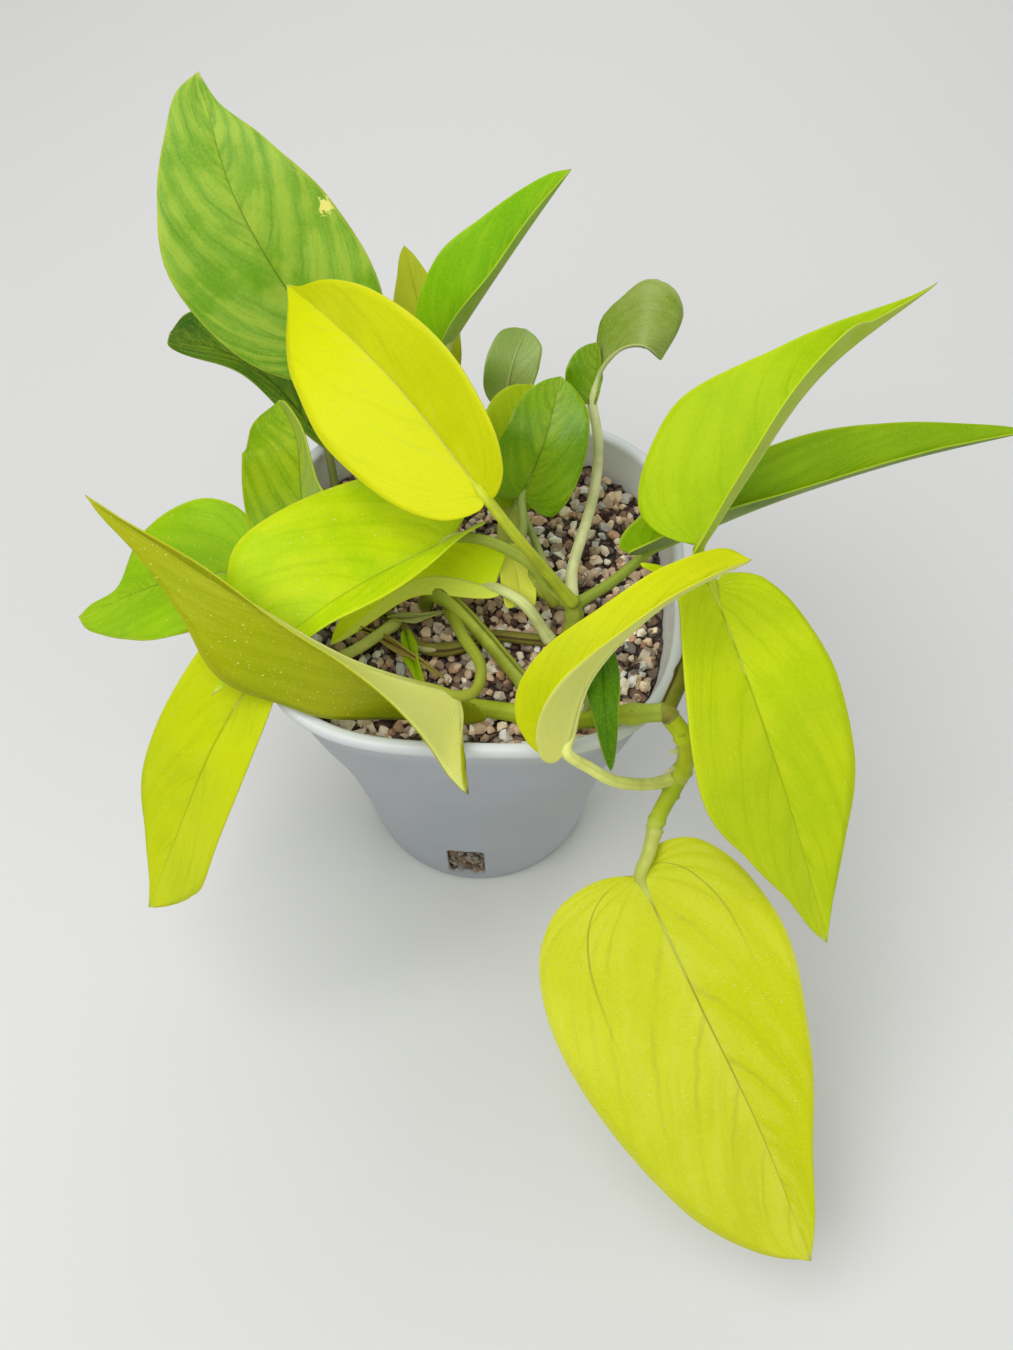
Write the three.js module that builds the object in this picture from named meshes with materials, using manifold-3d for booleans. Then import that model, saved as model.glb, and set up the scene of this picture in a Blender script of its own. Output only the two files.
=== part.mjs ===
// Potted neon pothos: a flared square-rimmed pot, its fill of grit, the vines and every leaf.
// Millimetres, +Z up. The origin is the middle of the pot's foot.
import * as THREE from 'three';
import Module from 'manifold-3d';
import { mergeVertices } from 'three/addons/utils/BufferGeometryUtils.js';

const wasm = await Module();
wasm.setup();

// Driving dimensions of the pot
const rimHalfWidth = 65;
const potHeight = 136;
const lipHeight = 4;
const wall = 1.8;
const floorThickness = 2.4;
const potYaw = -2;
const rimSquareness = 3.1;
const potSides = 40;
const slotWidth = 13.5;
const slotHeight = 24;
const slotCorner = 2.5;
const slotBottom = 6.5;
const slotYaw = -6;
const slotReach = { from: 32, depth: 20 };
// Outside half-width of the wall, from the foot's edge up to the underside of the lip
const wallProfile = [
  { height: 0, halfWidth: 38.5 },
  { height: 3, halfWidth: 40.8 },
  { height: 14, halfWidth: 42.3 },
  { height: 34, halfWidth: 44.5 },
  { height: 66, halfWidth: 49 },
  { height: 99, halfWidth: 56.5 },
  { height: 119, halfWidth: 60.3 },
  { height: 132, halfWidth: 63 },
];
// The lip, from its underside round to the inside: in from the rim's edge and down from its top
const lipProfile = [
  { inset: 0.4, drop: 3.8 },
  { inset: 0, drop: 2.8 },
  { inset: 0.3, drop: 0.7 },
  { inset: 1.4, drop: 0 },
  { inset: 2.9, drop: 0 },
  { inset: 3.8, drop: 1.1 },
];
const insideHeights = [119, 99, 66, 34, 14, 6];

// Driving dimensions of the grit
const gritTop = 122;
const grainPitch = 7.6;
const grainRise = 1.7;
const grainJitter = 0.24;
const grainDip = 0.8;

// Driving dimensions of the plant
const bladeThickness = 0.8;
const midribThickness = 1.1;
const clearance = 0.3;
const petioleSides = 6;
const petioleStep = 9;
const petioleEnd = 0.06;
const vineSides = 8;
const vineStep = 6;
const bladeRows = 11;
const bladeColumns = 3;
const veinSlant = 0.28;
const waveHeight = 1;
const wavesPerBlade = 1.5;
const wavePhase = { right: 0.6, left: 2.4 };
const steepestFold = 0.3;
const plainHalf = { lobe: 0.05, reach: 0.35, waist: 0, widest: 0.4, taper: [0.75, 0.5, 0.25] };

// The photograph's camera, through which the leaves' places were read
const camera = {
  place: { x: 10.1, y: -255.7, z: 462 },
  pitch: 56.4,
  focalPixels: 1350,
  centre: { x: 506.5, y: 675 },
};

// Every random draw comes from this one seeded generator
function seededRandom(seed) {
  let state = seed;
  return () => {
    state = (state * 1664525 + 1013904223) % 4294967296;
    return state / 4294967296;
  };
}

const mix = (a, b, t) => a + (b - a) * t;
const smooth = (t) => t * t * (3 - 2 * t);
const vector = (p) => new THREE.Vector3(p[0], p[1], p[2]);
const radians = (degrees) => (degrees * Math.PI) / 180;

// The place in the pot's frame that shows at a pixel of the photograph, at a height above the foot
function seen(x, y, height) {
  const across = (x - camera.centre.x) / camera.focalPixels;
  const down = (y - camera.centre.y) / camera.focalPixels;
  const level = Math.cos(radians(camera.pitch));
  const steep = Math.sin(radians(camera.pitch));
  const reach = (camera.place.z - height) / (steep + down * level);
  return [camera.place.x + across * reach, camera.place.y + (level - down * steep) * reach, height];
}

// Solids: a closed mesh goes in, a cut or joined one comes out
function solidFromGeometry(geometry) {
  const bare = geometry.clone();
  bare.deleteAttribute('normal');
  bare.deleteAttribute('uv');
  const merged = mergeVertices(bare, 1e-4);
  return solidFromTriangles(merged.attributes.position.array, merged.index.array);
}

function solidFromTriangles(positions, indices) {
  const mesh = new wasm.Mesh({
    numProp: 3,
    vertProperties: new Float32Array(positions),
    triVerts: new Uint32Array(indices),
  });
  return new wasm.Manifold(mesh);
}

function geometryFromSolid(solid) {
  const mesh = solid.getMesh();
  const geometry = new THREE.BufferGeometry();
  geometry.setAttribute('position', new THREE.BufferAttribute(mesh.vertProperties, 3));
  geometry.setIndex(new THREE.BufferAttribute(mesh.triVerts, 1));
  geometry.computeVertexNormals();
  return geometry;
}

// A stem is a round section drawn along a smooth curve through its points
function tube(points, radius, sides, stepLength) {
  const curve = new THREE.CatmullRomCurve3(points.map(vector));
  const section = new THREE.Shape();
  section.absarc(0, 0, radius, 0, Math.PI * 2, false);
  const steps = Math.max(2, Math.round(curve.getLength() / stepLength));
  const geometry = new THREE.ExtrudeGeometry(section, {
    steps,
    extrudePath: curve,
    curveSegments: sides / 2,
    bevelEnabled: false,
  });
  return solidFromGeometry(geometry);
}

function join(solids) {
  return solids.reduce((whole, solid) => whole.add(solid));
}

// A level ring whose corners are rounder the closer its squareness is to 2
function squareRing(halfWidth, height, squareness) {
  const ring = [];
  for (let i = 0; i < potSides; i += 1) {
    const angle = (i / potSides) * Math.PI * 2;
    const c = Math.abs(Math.cos(angle)) ** squareness;
    const s = Math.abs(Math.sin(angle)) ** squareness;
    const radius = halfWidth / (c + s) ** (1 / squareness);
    const turned = angle + radians(potYaw);
    ring.push([radius * Math.cos(turned), radius * Math.sin(turned), height]);
  }
  return ring;
}

function stackRings(rings) {
  const sides = rings[0].length;
  const positions = rings.flat(2);
  const first = rings[0][0][2];
  const last = rings[rings.length - 1][0][2];
  positions.push(0, 0, first, 0, 0, last);
  const bottomCentre = rings.length * sides;
  const topCentre = bottomCentre + 1;
  const triangles = [];
  for (let i = 0; i < sides; i += 1) {
    const next = (i + 1) % sides;
    triangles.push(bottomCentre, next, i);
    for (let level = 0; level < rings.length - 1; level += 1) {
      const low = level * sides;
      const high = low + sides;
      triangles.push(low + i, low + next, high + next);
      triangles.push(low + i, high + next, high + i);
    }
    const top = (rings.length - 1) * sides;
    triangles.push(topCentre, top + i, top + next);
  }
  return solidFromTriangles(positions, triangles);
}

const squarenessAt = (height) => mix(2, rimSquareness, Math.min(1, height / (potHeight - lipHeight)));

function wallHalfWidth(height) {
  const above = wallProfile.findIndex((station) => station.height >= height);
  if (above <= 0) {
    return wallProfile[above === 0 ? 0 : wallProfile.length - 1].halfWidth;
  }
  const low = wallProfile[above - 1];
  const high = wallProfile[above];
  const t = (height - low.height) / (high.height - low.height);
  return mix(low.halfWidth, high.halfWidth, t);
}

function makePot() {
  const outside = wallProfile.map((s) => squareRing(s.halfWidth, s.height, squarenessAt(s.height)));
  const lip = lipProfile.map((s) => squareRing(rimHalfWidth - s.inset, potHeight - s.drop, rimSquareness));
  const inside = insideHeights.map((height) =>
    squareRing(wallHalfWidth(height) - wall, height, squarenessAt(height)));
  const floor = squareRing(wallHalfWidth(0) - wall, floorThickness, squarenessAt(0));
  let pot = stackRings([...outside, ...lip, ...inside, floor]);
  for (let side = 0; side < 4; side += 1) {
    pot = pot.subtract(makeSlot(side * 90));
  }
  return pot;
}

// One drain window through the wall, just above the foot
function makeSlot(turn) {
  const x = slotWidth / 2 - slotCorner;
  const y = slotHeight / 2 - slotCorner;
  const outline = new THREE.Shape();
  outline.absarc(x, y, slotCorner, 0, Math.PI / 2);
  outline.absarc(-x, y, slotCorner, Math.PI / 2, Math.PI);
  outline.absarc(-x, -y, slotCorner, Math.PI, Math.PI * 1.5);
  outline.absarc(x, -y, slotCorner, Math.PI * 1.5, Math.PI * 2);
  const geometry = new THREE.ExtrudeGeometry(outline, {
    depth: slotReach.depth,
    curveSegments: 2,
    bevelEnabled: false,
  });
  geometry.rotateX(Math.PI / 2);
  geometry.translate(0, -slotReach.from, slotBottom + slotHeight / 2);
  geometry.rotateZ(radians(turn + slotYaw));
  return solidFromGeometry(geometry);
}

// The grit: the pot's inside, topped by a field of raised grains
function gritField() {
  const random = seededRandom(7);
  const span = Math.ceil((rimHalfWidth * 1.2) / grainPitch);
  const rowPitch = (grainPitch * Math.sqrt(3)) / 2;
  const triangles = [];
  const positions = [];
  const indexOf = new Map();
  const point = (x, y, z) => {
    const key = `${x.toFixed(3)},${y.toFixed(3)},${z.toFixed(3)}`;
    if (!indexOf.has(key)) {
      indexOf.set(key, positions.length / 3);
      positions.push(x, y, z);
    }
    return indexOf.get(key);
  };
  // Corners are shared between grains, so each is jittered once, by its own place
  const cornerAt = new Map();
  const corner = (x, y) => {
    const key = `${x.toFixed(1)},${y.toFixed(1)}`;
    if (!cornerAt.has(key)) {
      const dx = (random() - 0.5) * grainJitter * grainPitch;
      const dy = (random() - 0.5) * grainJitter * grainPitch;
      cornerAt.set(key, [x + dx, y + dy, gritTop - random() * grainDip]);
    }
    return cornerAt.get(key);
  };
  const edges = new Map();
  const addTriangle = (a, b, c) => {
    const ids = [a, b, c].map((p) => point(...p));
    triangles.push(...ids);
    for (let k = 0; k < 3; k += 1) {
      edges.set(`${ids[k]},${ids[(k + 1) % 3]}`, [ids[k], ids[(k + 1) % 3]]);
    }
  };
  for (let row = -span; row <= span; row += 1) {
    for (let column = -span; column <= span; column += 1) {
      const x = (column + (Math.abs(row) % 2) / 2) * grainPitch;
      const y = row * rowPitch;
      const peak = [
        x + (random() - 0.5) * grainJitter * grainPitch,
        y + (random() - 0.5) * grainJitter * grainPitch,
        gritTop + grainRise * (0.5 + random() * 0.9),
      ];
      const reach = grainPitch / Math.sqrt(3);
      for (let k = 0; k < 6; k += 1) {
        const a = radians(60 * k + 30);
        const b = radians(60 * k + 90);
        addTriangle(
          peak,
          corner(x + reach * Math.cos(a), y + reach * Math.sin(a)),
          corner(x + reach * Math.cos(b), y + reach * Math.sin(b)),
        );
      }
    }
  }
  // Straight sides and a flat underside close the field
  const bottom = -floorThickness;
  const hub = positions.length / 3;
  positions.push(0, 0, bottom);
  const lowered = new Map();
  const under = (id) => {
    if (!lowered.has(id)) {
      lowered.set(id, positions.length / 3);
      positions.push(positions[id * 3], positions[id * 3 + 1], bottom);
    }
    return lowered.get(id);
  };
  for (const [a, b] of edges.values()) {
    if (!edges.has(`${b},${a}`)) {
      triangles.push(b, a, under(a), b, under(a), under(b), under(b), under(a), hub);
    }
  }
  return solidFromTriangles(positions, triangles);
}

function makeGrit(stems) {
  const inset = wall + clearance;
  const bottom = squareRing(wallHalfWidth(0) - inset, floorThickness + clearance, squarenessAt(0));
  const sides = [...insideHeights, gritTop + grainPitch]
    .sort((a, b) => a - b)
    .map((height) => squareRing(wallHalfWidth(height) - inset, height, squarenessAt(height)));
  let grit = stackRings([bottom, ...sides]).intersect(gritField());
  for (const stem of stems) {
    grit = grit.subtract(stem);
  }
  return grit;
}

// Leaf outline, from the notch round one basal lobe to the tip.
// Each point is [share of the length, share of the half-width].
function outlineCurve(half) {
  const { lobe, reach, waist, widest, taper } = { ...plainHalf, ...half };
  const shoulder = (degrees) => [
    -lobe + (widest + lobe) * (1 - Math.cos(radians(degrees))),
    mix(reach, 1, Math.sin(radians(degrees))) * (1 - waist * Math.cos(radians(degrees))),
  ];
  const points = [
    [0, 0],
    [-lobe * 0.8, reach * 0.4],
    [-lobe, reach],
    shoulder(30),
    shoulder(60),
    [widest, 1],
    [mix(widest, 1, 0.35), taper[0]],
    [mix(widest, 1, 0.65), taper[1]],
    [mix(widest, 1, 0.88), taper[2]],
    [1, 0],
  ];
  return new THREE.CatmullRomCurve3(points.map(([x, y]) => vector([x, y, 0])), false, 'centripetal');
}

// A value given at a few even stations from base to tip, read in between
function along(stations, t) {
  const slot = t * (stations.length - 1);
  const low = Math.min(Math.floor(slot), stations.length - 2);
  return mix(stations[low], stations[low + 1], smooth(slot - low));
}

// Places a flat leaf point (along, across) on the leaf's curved, folded and waved surface
function leafSurface(leaf) {
  const curve = new THREE.CatmullRomCurve3(leaf.midrib.map(vector), false, 'centripetal');
  const length = curve.getLength();
  const place = (share, across, side) => {
    const t = THREE.MathUtils.clamp(share, 0, 1);
    const tangent = curve.getTangentAt(t);
    const point = curve.getPointAt(t).addScaledVector(tangent, (share - t) * length);
    const normal = new THREE.Vector3(...[0, 1, 2].map((axis) => along(leaf.faces.map((f) => f[axis]), t)));
    normal.addScaledVector(tangent, -normal.dot(tangent)).normalize();
    const right = tangent.clone().cross(normal);
    const half = side > 0 ? leaf.right : leaf.left;
    const fold = radians(along(half.fold, t));
    const phase = side > 0 ? wavePhase.right : wavePhase.left;
    const wave = waveHeight * across * across * Math.sin(Math.PI * 2 * wavesPerBlade * t + phase);
    const level = Math.cos(fold);
    const rise = Math.sin(fold);
    const outward = right.clone().multiplyScalar(side * level).addScaledVector(normal, rise);
    const facing = normal.clone().multiplyScalar(level).addScaledVector(right, -side * rise);
    return point.addScaledVector(outward, across * half.width).addScaledVector(facing, wave);
  };
  return place;
}

// A blade is a grid of veins: each row runs from the midrib out to the margin
function bladeGrid(leaf) {
  const place = leafSurface(leaf);
  const positions = [];
  const ribs = [];
  const triangles = [];
  const indexOf = new Map();
  const vertex = (forward, across, side) => {
    const key = `${forward.toFixed(4)},${(across * side).toFixed(4)}`;
    if (!indexOf.has(key)) {
      indexOf.set(key, positions.length);
      positions.push(place(forward, across, side));
      ribs.push(across === 0 ? midribThickness * (1 - forward) : 0);
    }
    return indexOf.get(key);
  };
  const marginOf = (half) => {
    const outline = outlineCurve(half);
    return Array.from({ length: bladeRows + 1 }, (_, i) => {
      const edge = outline.getPointAt(i / bladeRows);
      const closed = i === 0 || i === bladeRows;
      return { forward: edge.x, across: closed ? 0 : Math.max(0, edge.y) };
    });
  };
  const margins = new Map([[1, marginOf(leaf.right)], [-1, marginOf(leaf.left)]]);
  // Both halves leave the midrib at the same places
  const starts = margins.get(1).map((edge, i) => {
    const other = margins.get(-1)[i];
    const forward = (edge.forward + other.forward) / 2;
    const across = (edge.across + other.across) / 2;
    return THREE.MathUtils.clamp(forward - veinSlant * across, 0, 1);
  });
  for (const [side, margin] of margins) {
    const grid = margin.map((edge, i) =>
      Array.from({ length: bladeColumns + 1 }, (_, j) => {
        const share = j / bladeColumns;
        return vertex(mix(starts[i], edge.forward, share), edge.across * share, side);
      }));
    // Where the second row also leaves from the notch, the first row encloses nothing
    for (let i = starts[1] > 0 ? 0 : 1; i < bladeRows; i += 1) {
      for (let j = 0; j < bladeColumns; j += 1) {
        const quad = [grid[i][j], grid[i][j + 1], grid[i + 1][j + 1], grid[i + 1][j]];
        const halves = [[quad[0], quad[1], quad[2]], [quad[0], quad[2], quad[3]]];
        for (const [a, b, c] of halves) {
          if (a !== b && b !== c && a !== c) {
            triangles.push(side > 0 ? [a, b, c] : [a, c, b]);
          }
        }
      }
    }
  }
  return { positions, ribs, triangles };
}

// Gives a blade its thickness, with the same triangles on both faces
function thickenBlade({ positions, ribs, triangles }) {
  const faceNormals = positions.map(() => []);
  for (const [a, b, c] of triangles) {
    const ab = positions[b].clone().sub(positions[a]);
    const ac = positions[c].clone().sub(positions[a]);
    const normal = ab.cross(ac).normalize();
    for (const id of [a, b, c]) {
      faceNormals[id].push(normal);
    }
  }
  // Where the blade is folded the offset grows, so that both halves keep their thickness
  const offsets = faceNormals.map((around) => {
    const mean = around.reduce((sum, normal) => sum.add(normal), new THREE.Vector3()).normalize();
    const lean = around.reduce((sum, normal) => sum + normal.dot(mean), 0) / around.length;
    return { mean, reach: bladeThickness / 2 / Math.max(steepestFold, lean) };
  });
  const count = positions.length;
  const above = positions.map((point, id) =>
    point.clone().addScaledVector(offsets[id].mean, offsets[id].reach));
  const below = positions.map((point, id) =>
    point.clone().addScaledVector(offsets[id].mean, -offsets[id].reach - ribs[id]));
  const vertices = [...above, ...below].flatMap((point) => point.toArray());
  const indices = [];
  const edges = new Map();
  for (const [a, b, c] of triangles) {
    indices.push(a, b, c, c + count, b + count, a + count);
    for (const [from, to] of [[a, b], [b, c], [c, a]]) {
      edges.set(`${from},${to}`, [from, to]);
    }
  }
  for (const [from, to] of edges.values()) {
    if (!edges.has(`${to},${from}`)) {
      indices.push(to, from, from + count, to, from + count, to + count);
    }
  }
  return solidFromTriangles(vertices, indices);
}

function makeLeaf(leaf, carriers) {
  let solid = thickenBlade(bladeGrid(leaf));
  if (leaf.petiole) {
    const notch = leaf.midrib[0];
    const ahead = new THREE.CatmullRomCurve3(leaf.midrib.map(vector)).getPointAt(petioleEnd).toArray();
    const path = [...leaf.petiole, notch, ahead];
    solid = solid.add(tube(path, leaf.petioleRadius, petioleSides, petioleStep));
  }
  for (const carrier of carriers) {
    solid = solid.subtract(carrier);
  }
  return solid;
}

// The leaves. A midrib runs from the petiole's end to the tip, faces is where the upper side
// looks, and folds are degrees from base to tip. Each half has its own width, and shares of the
// length and width that shape its outline: lobe is how far the base reaches behind the notch,
// reach how wide it is there, waist how much it narrows after that, widest where it is full,
// and taper how wide it still is on the way to the tip.
const leaves = [
  {
    name: 'leaf_tall_back',
    colour: 'green',
    midrib: [seen(322, 342, 172), seen(262, 250, 198), seen(229, 184, 214), seen(198, 71, 235)],
    faces: [[0.15, -0.72, 0.69], [0.15, -0.72, 0.69]],
    left: { width: 28, fold: [10, 5], lobe: 0.1, reach: 0.15, widest: 0.45, taper: [0.75, 0.5, 0.3] },
    right: { width: 27, fold: [20, 10], lobe: 0.1, reach: 0.4, widest: 0.2, taper: [0.9, 0.55, 0.1] },
    petiole: [seen(343, 505, 128), seen(362, 487, 134), seen(356, 430, 146), seen(336, 372, 164)],
    petioleRadius: 1.8,
  },
  {
    name: 'leaf_yellow_centre',
    colour: 'yellow',
    midrib: [seen(483, 494, 182), seen(394, 382, 197), seen(336, 325, 200), seen(287, 284, 192)],
    faces: [[0.05, -0.72, 0.69], [0.05, -0.72, 0.69]],
    left: { width: 26, fold: [5, 5], lobe: 0.03, reach: 0.15, widest: 0.4, taper: [0.8, 0.5, 0.15] },
    right: { width: 21, fold: [40, 35], lobe: 0.03, reach: 0.15, widest: 0.3, taper: [0.85, 0.45, 0.1] },
    petiole: [seen(573, 603, 135), seen(545, 570, 150), seen(515, 535, 168)],
    petioleRadius: 1.8,
  },
  {
    name: 'leaf_upright_back',
    colour: 'green',
    midrib: [seen(447, 346, 168), seen(484, 292, 185), seen(527, 230, 198), seen(571, 169, 208)],
    faces: [[0, -0.72, 0.69], [0, -0.72, 0.69]],
    left: { width: 17.5, fold: [5, 0], widest: 0.35, taper: [0.75, 0.5, 0.25] },
    right: { width: 7.5, fold: [105, 90], widest: 0.35 },
    petiole: [seen(540, 588, 137), seen(500, 500, 136), seen(455, 400, 152)],
    petioleRadius: 1.7,
  },
  {
    name: 'leaf_olive_back',
    colour: 'olive',
    midrib: [seen(440, 375, 146), seen(420, 310, 160), seen(404, 245, 172)],
    faces: [[0.1, -0.72, 0.69], [0.1, -0.72, 0.69]],
    left: { width: 12, fold: [20, 10], widest: 0.35, taper: [0.7, 0.4, 0.2] },
    right: { width: 11, fold: [20, 10], widest: 0.35, taper: [0.7, 0.45, 0.2] },
    petiole: [seen(350, 560, 127), seen(400, 500, 131), seen(445, 410, 142)],
    petioleRadius: 1.3,
  },
  {
    name: 'leaf_dark_left',
    colour: 'dark',
    midrib: [seen(325, 440, 139), seen(250, 364, 147), seen(169, 334, 153)],
    faces: [[-0.1, -0.5, 0.85], [-0.1, -0.5, 0.85]],
    left: { width: 5, fold: [25, 10], widest: 0.55, taper: [0.95, 0.95, 0.75] },
    right: { width: 14, fold: [20, 10], widest: 0.5, taper: [0.95, 0.9, 0.55] },
    petiole: [seen(345, 532, 127.5), seen(334, 480, 134)],
    petioleRadius: 1.5,
  },
  {
    name: 'leaf_small_left',
    colour: 'green',
    midrib: [seen(308, 545, 148), seen(301, 492, 157), seen(297, 440, 168), seen(280, 400, 172)],
    faces: [[-0.1, -0.7, 0.7], [-0.1, -0.7, 0.7]],
    left: { width: 17.5, fold: [5, 5], reach: 0.7, widest: 0.3, taper: [0.97, 0.92, 0.72] },
    right: { width: 15, fold: [45, 60], reach: 0.6, widest: 0.2, taper: [0.7, 0.5, 0.3] },
    petiole: [seen(350, 560, 127), seen(338, 554, 136)],
    petioleRadius: 1.5,
  },
  {
    name: 'leaf_far_left',
    colour: 'green',
    midrib: [seen(255, 570, 142), seen(175, 580, 138), seen(79, 617, 112)],
    faces: [[-0.1, -0.4, 0.9], [-0.3, -0.4, 0.9]],
    left: { width: 18, fold: [10, 10], lobe: 0.1, reach: 0.4, widest: 0.45, taper: [0.8, 0.55, 0.3] },
    right: { width: 23, fold: [10, 5], reach: 0.2, widest: 0.2, taper: [0.75, 0.15, 0.1] },
    petiole: [seen(370, 602, 126), seen(310, 585, 136)],
    petioleRadius: 1.8,
  },
  {
    name: 'leaf_lime_left',
    colour: 'lime',
    midrib: [seen(452, 538, 152), seen(340, 597, 157), seen(211, 693, 141)],
    faces: [[-0.15, -0.5, 0.85], [-0.15, -0.5, 0.85]],
    left: { width: 15, fold: [70, 50, 10], lobe: 0.1, reach: 0.45, taper: [0.65, 0.55, 0.3] },
    right: { width: 30, fold: [5, 5], lobe: 0.15, reach: 0.5, widest: 0.65, taper: [0.75, 0.6, 0.2] },
    petiole: [seen(551, 592, 136), seen(532, 565, 147), seen(487, 541, 151.5)],
    petioleRadius: 1.9,
  },
  {
    name: 'leaf_trough_left',
    colour: 'olive',
    midrib: [seen(458, 696, 145), seen(355, 664, 160), seen(225, 588, 168), seen(85, 495, 170)],
    faces: [[-0.2, -0.6, 0.75], [-0.2, -0.55, 0.8]],
    left: {
      width: 26, fold: [-50, -30, 0, 5], lobe: 0.1, reach: 0.4,
      widest: 0.45, taper: [0.5, 0.22, 0.1],
    },
    right: { width: 28, fold: [140, 85, 60, 85], reach: 0.4, widest: -0.05, taper: [0.2, 0.2, 0.1] },
    petiole: [seen(446, 601, 132), seen(465, 638, 139), seen(481, 668, 142), seen(474, 692, 144)],
    petioleRadius: 1.9,
  },
  {
    name: 'leaf_low_left',
    colour: 'lime',
    midrib: [seen(493, 587, 140), seen(421, 578, 136), seen(330, 645, 125.5)],
    faces: [[0, -0.5, 0.85], [0, -0.5, 0.85]],
    left: { width: 6, fold: [20, 20], widest: 0.35 },
    right: { width: 13, fold: [5, 20], lobe: 0.03, reach: 0.85, widest: 0.3 },
    petiole: [seen(550, 640, 126), seen(522, 602, 140)],
    petioleRadius: 1.9,
  },
  {
    name: 'leaf_hanging_left',
    colour: 'yellow',
    midrib: [seen(262, 665, 141), seen(215, 743, 122), seen(171, 851, 85), seen(149, 907, 62)],
    faces: [[-0.3, -0.6, 0.7], [-0.3, -0.6, 0.7]],
    left: { width: 17, fold: [20, 15], lobe: 0.03, reach: 0.3, widest: 0.7, taper: [0.8, 0.5, 0.2] },
    right: { width: 18, fold: [10, 5], lobe: 0.15, reach: 0.7, widest: 0.2, taper: [1, 0.55, 0.15] },
    petiole: [seen(398, 622, 126), seen(345, 655, 136), seen(300, 668, 142)],
    petioleRadius: 1.8,
  },
  {
    name: 'leaf_trough_right',
    colour: 'lime',
    midrib: [seen(566, 750, 148), seen(590, 678, 166), seen(660, 608, 176), seen(752, 560, 172)],
    faces: [[-0.3, -0.6, 0.7], [-0.2, -0.5, 0.8]],
    left: { width: 17, fold: [5, 5], reach: 0.25, widest: 0.15, taper: [0.6, 0.5, 0.4] },
    right: { width: 12, fold: [130, 110, 105, 140], widest: 0.2, taper: [0.3, 0.15, 0.1] },
    petiole: [seen(679, 777, 112), seen(650, 784, 118), seen(615, 781, 127), seen(590, 768, 136)],
    petioleRadius: 1.9,
  },
  {
    name: 'leaf_large_right',
    colour: 'lime',
    midrib: [seen(713, 588, 152), seen(754, 698, 148), seen(795, 824, 120), seen(827, 943, 84)],
    faces: [[0.3, -0.5, 0.8], [0.3, -0.6, 0.7]],
    left: { width: 25, fold: [10, 10], lobe: 0.03, reach: 0.3, widest: 0.25, taper: [0.9, 0.5, 0.15] },
    right: {
      width: 27, fold: [15, 10], lobe: 0.05, reach: 0.9, waist: 0.5,
      widest: 0.45, taper: [0.7, 0.35, 0.15],
    },
    petiole: [seen(698, 606, 142.5), seen(706, 586, 148), seen(711, 579, 152)],
    petioleRadius: 1.8,
  },
  {
    name: 'leaf_large_front',
    colour: 'lime',
    midrib: [seen(640, 877, 92), seen(700, 1005, 80), seen(760, 1130, 58), seen(811, 1261, 30)],
    faces: [[0, -0.5, 0.85], [0, -0.5, 0.85]],
    left: { width: 32, fold: [10, 5], reach: 0.4, widest: 0.25, taper: [0.74, 0.38, 0.16] },
    right: { width: 43, fold: [10, 10], lobe: 0.03, reach: 0.4, widest: 0.25, taper: [0.9, 0.7, 0.35] },
    petiole: [seen(655, 829, 101), seen(648, 855, 98)],
    petioleRadius: 2.3,
  },
  {
    name: 'leaf_dark_hanging',
    colour: 'dark',
    midrib: [seen(600, 640, 158), seen(605, 710, 156), seen(611, 772, 142)],
    faces: [[0, -0.4, 0.9], [0, -0.6, 0.7]],
    left: { width: 4.6, fold: [20, 10] },
    right: { width: 4.4, fold: [20, 10] },
    petiole: [seen(585, 722, 130), seen(592, 680, 144)],
    petioleRadius: 1.2,
  },
  {
    name: 'leaf_heart_centre',
    colour: 'green',
    midrib: [seen(522, 497, 152), seen(545, 440, 168), seen(561, 376, 178)],
    faces: [[0.05, -0.7, 0.7], [0.05, -0.7, 0.7]],
    left: { width: 14, fold: [10, 10], lobe: 0.05, reach: 0.6, widest: 0.25, taper: [0.9, 0.75, 0.4] },
    right: { width: 13.5, fold: [10, 10], lobe: 0.06, reach: 0.7, widest: 0.25, taper: [0.95, 0.8, 0.4] },
    petiole: [seen(519, 556, 139), seen(523, 525, 147)],
    petioleRadius: 1.5,
  },
  {
    name: 'leaf_behind_heart',
    colour: 'olive',
    midrib: [seen(517, 502, 146), seen(522, 450, 160), seen(532, 384, 168)],
    faces: [[0.05, -0.7, 0.7], [0.05, -0.7, 0.7]],
    left: { width: 14, fold: [10, 10], reach: 0.4, taper: [0.95, 0.8, 0.5] },
    right: { width: 9, fold: [10, 10], reach: 0.4, taper: [0.9, 0.8, 0.45] },
    petiole: [seen(512, 551, 139), seen(510, 530, 141.5)],
    petioleRadius: 1.5,
  },
  {
    name: 'leaf_upper_right',
    colour: 'lime',
    midrib: [seen(700, 545, 163), seen(742, 482, 178), seen(814, 381, 197), seen(937, 283, 198)],
    faces: [[-0.3, -0.6, 0.7], [-0.3, -0.6, 0.7]],
    left: { width: 28, fold: [5, 5], lobe: 0.03, reach: 0.55, widest: 0.25, taper: [0.46, 0.2, 0.06] },
    right: { width: 10, fold: [85, 105, 110], reach: 0.3, widest: 0.55, taper: [0.55, 0.35, 0.12] },
    petiole: [seen(700, 572, 146), seen(699, 558, 155)],
    petioleRadius: 1.9,
  },
  {
    name: 'leaf_far_right',
    colour: 'green',
    midrib: [seen(650, 551, 146), seen(765, 504, 152), seen(893, 463, 154), seen(1030, 431, 145)],
    faces: [[-0.1, -0.6, 0.8], [-0.1, -0.6, 0.8]],
    left: { width: 16, fold: [15, 5], lobe: 0.06, taper: [0.75, 0.45, 0.2] },
    right: { width: 9, fold: [95, 85], reach: 0.9, widest: 0.1, taper: [0.65, 0.45, 0.25] },
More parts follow.
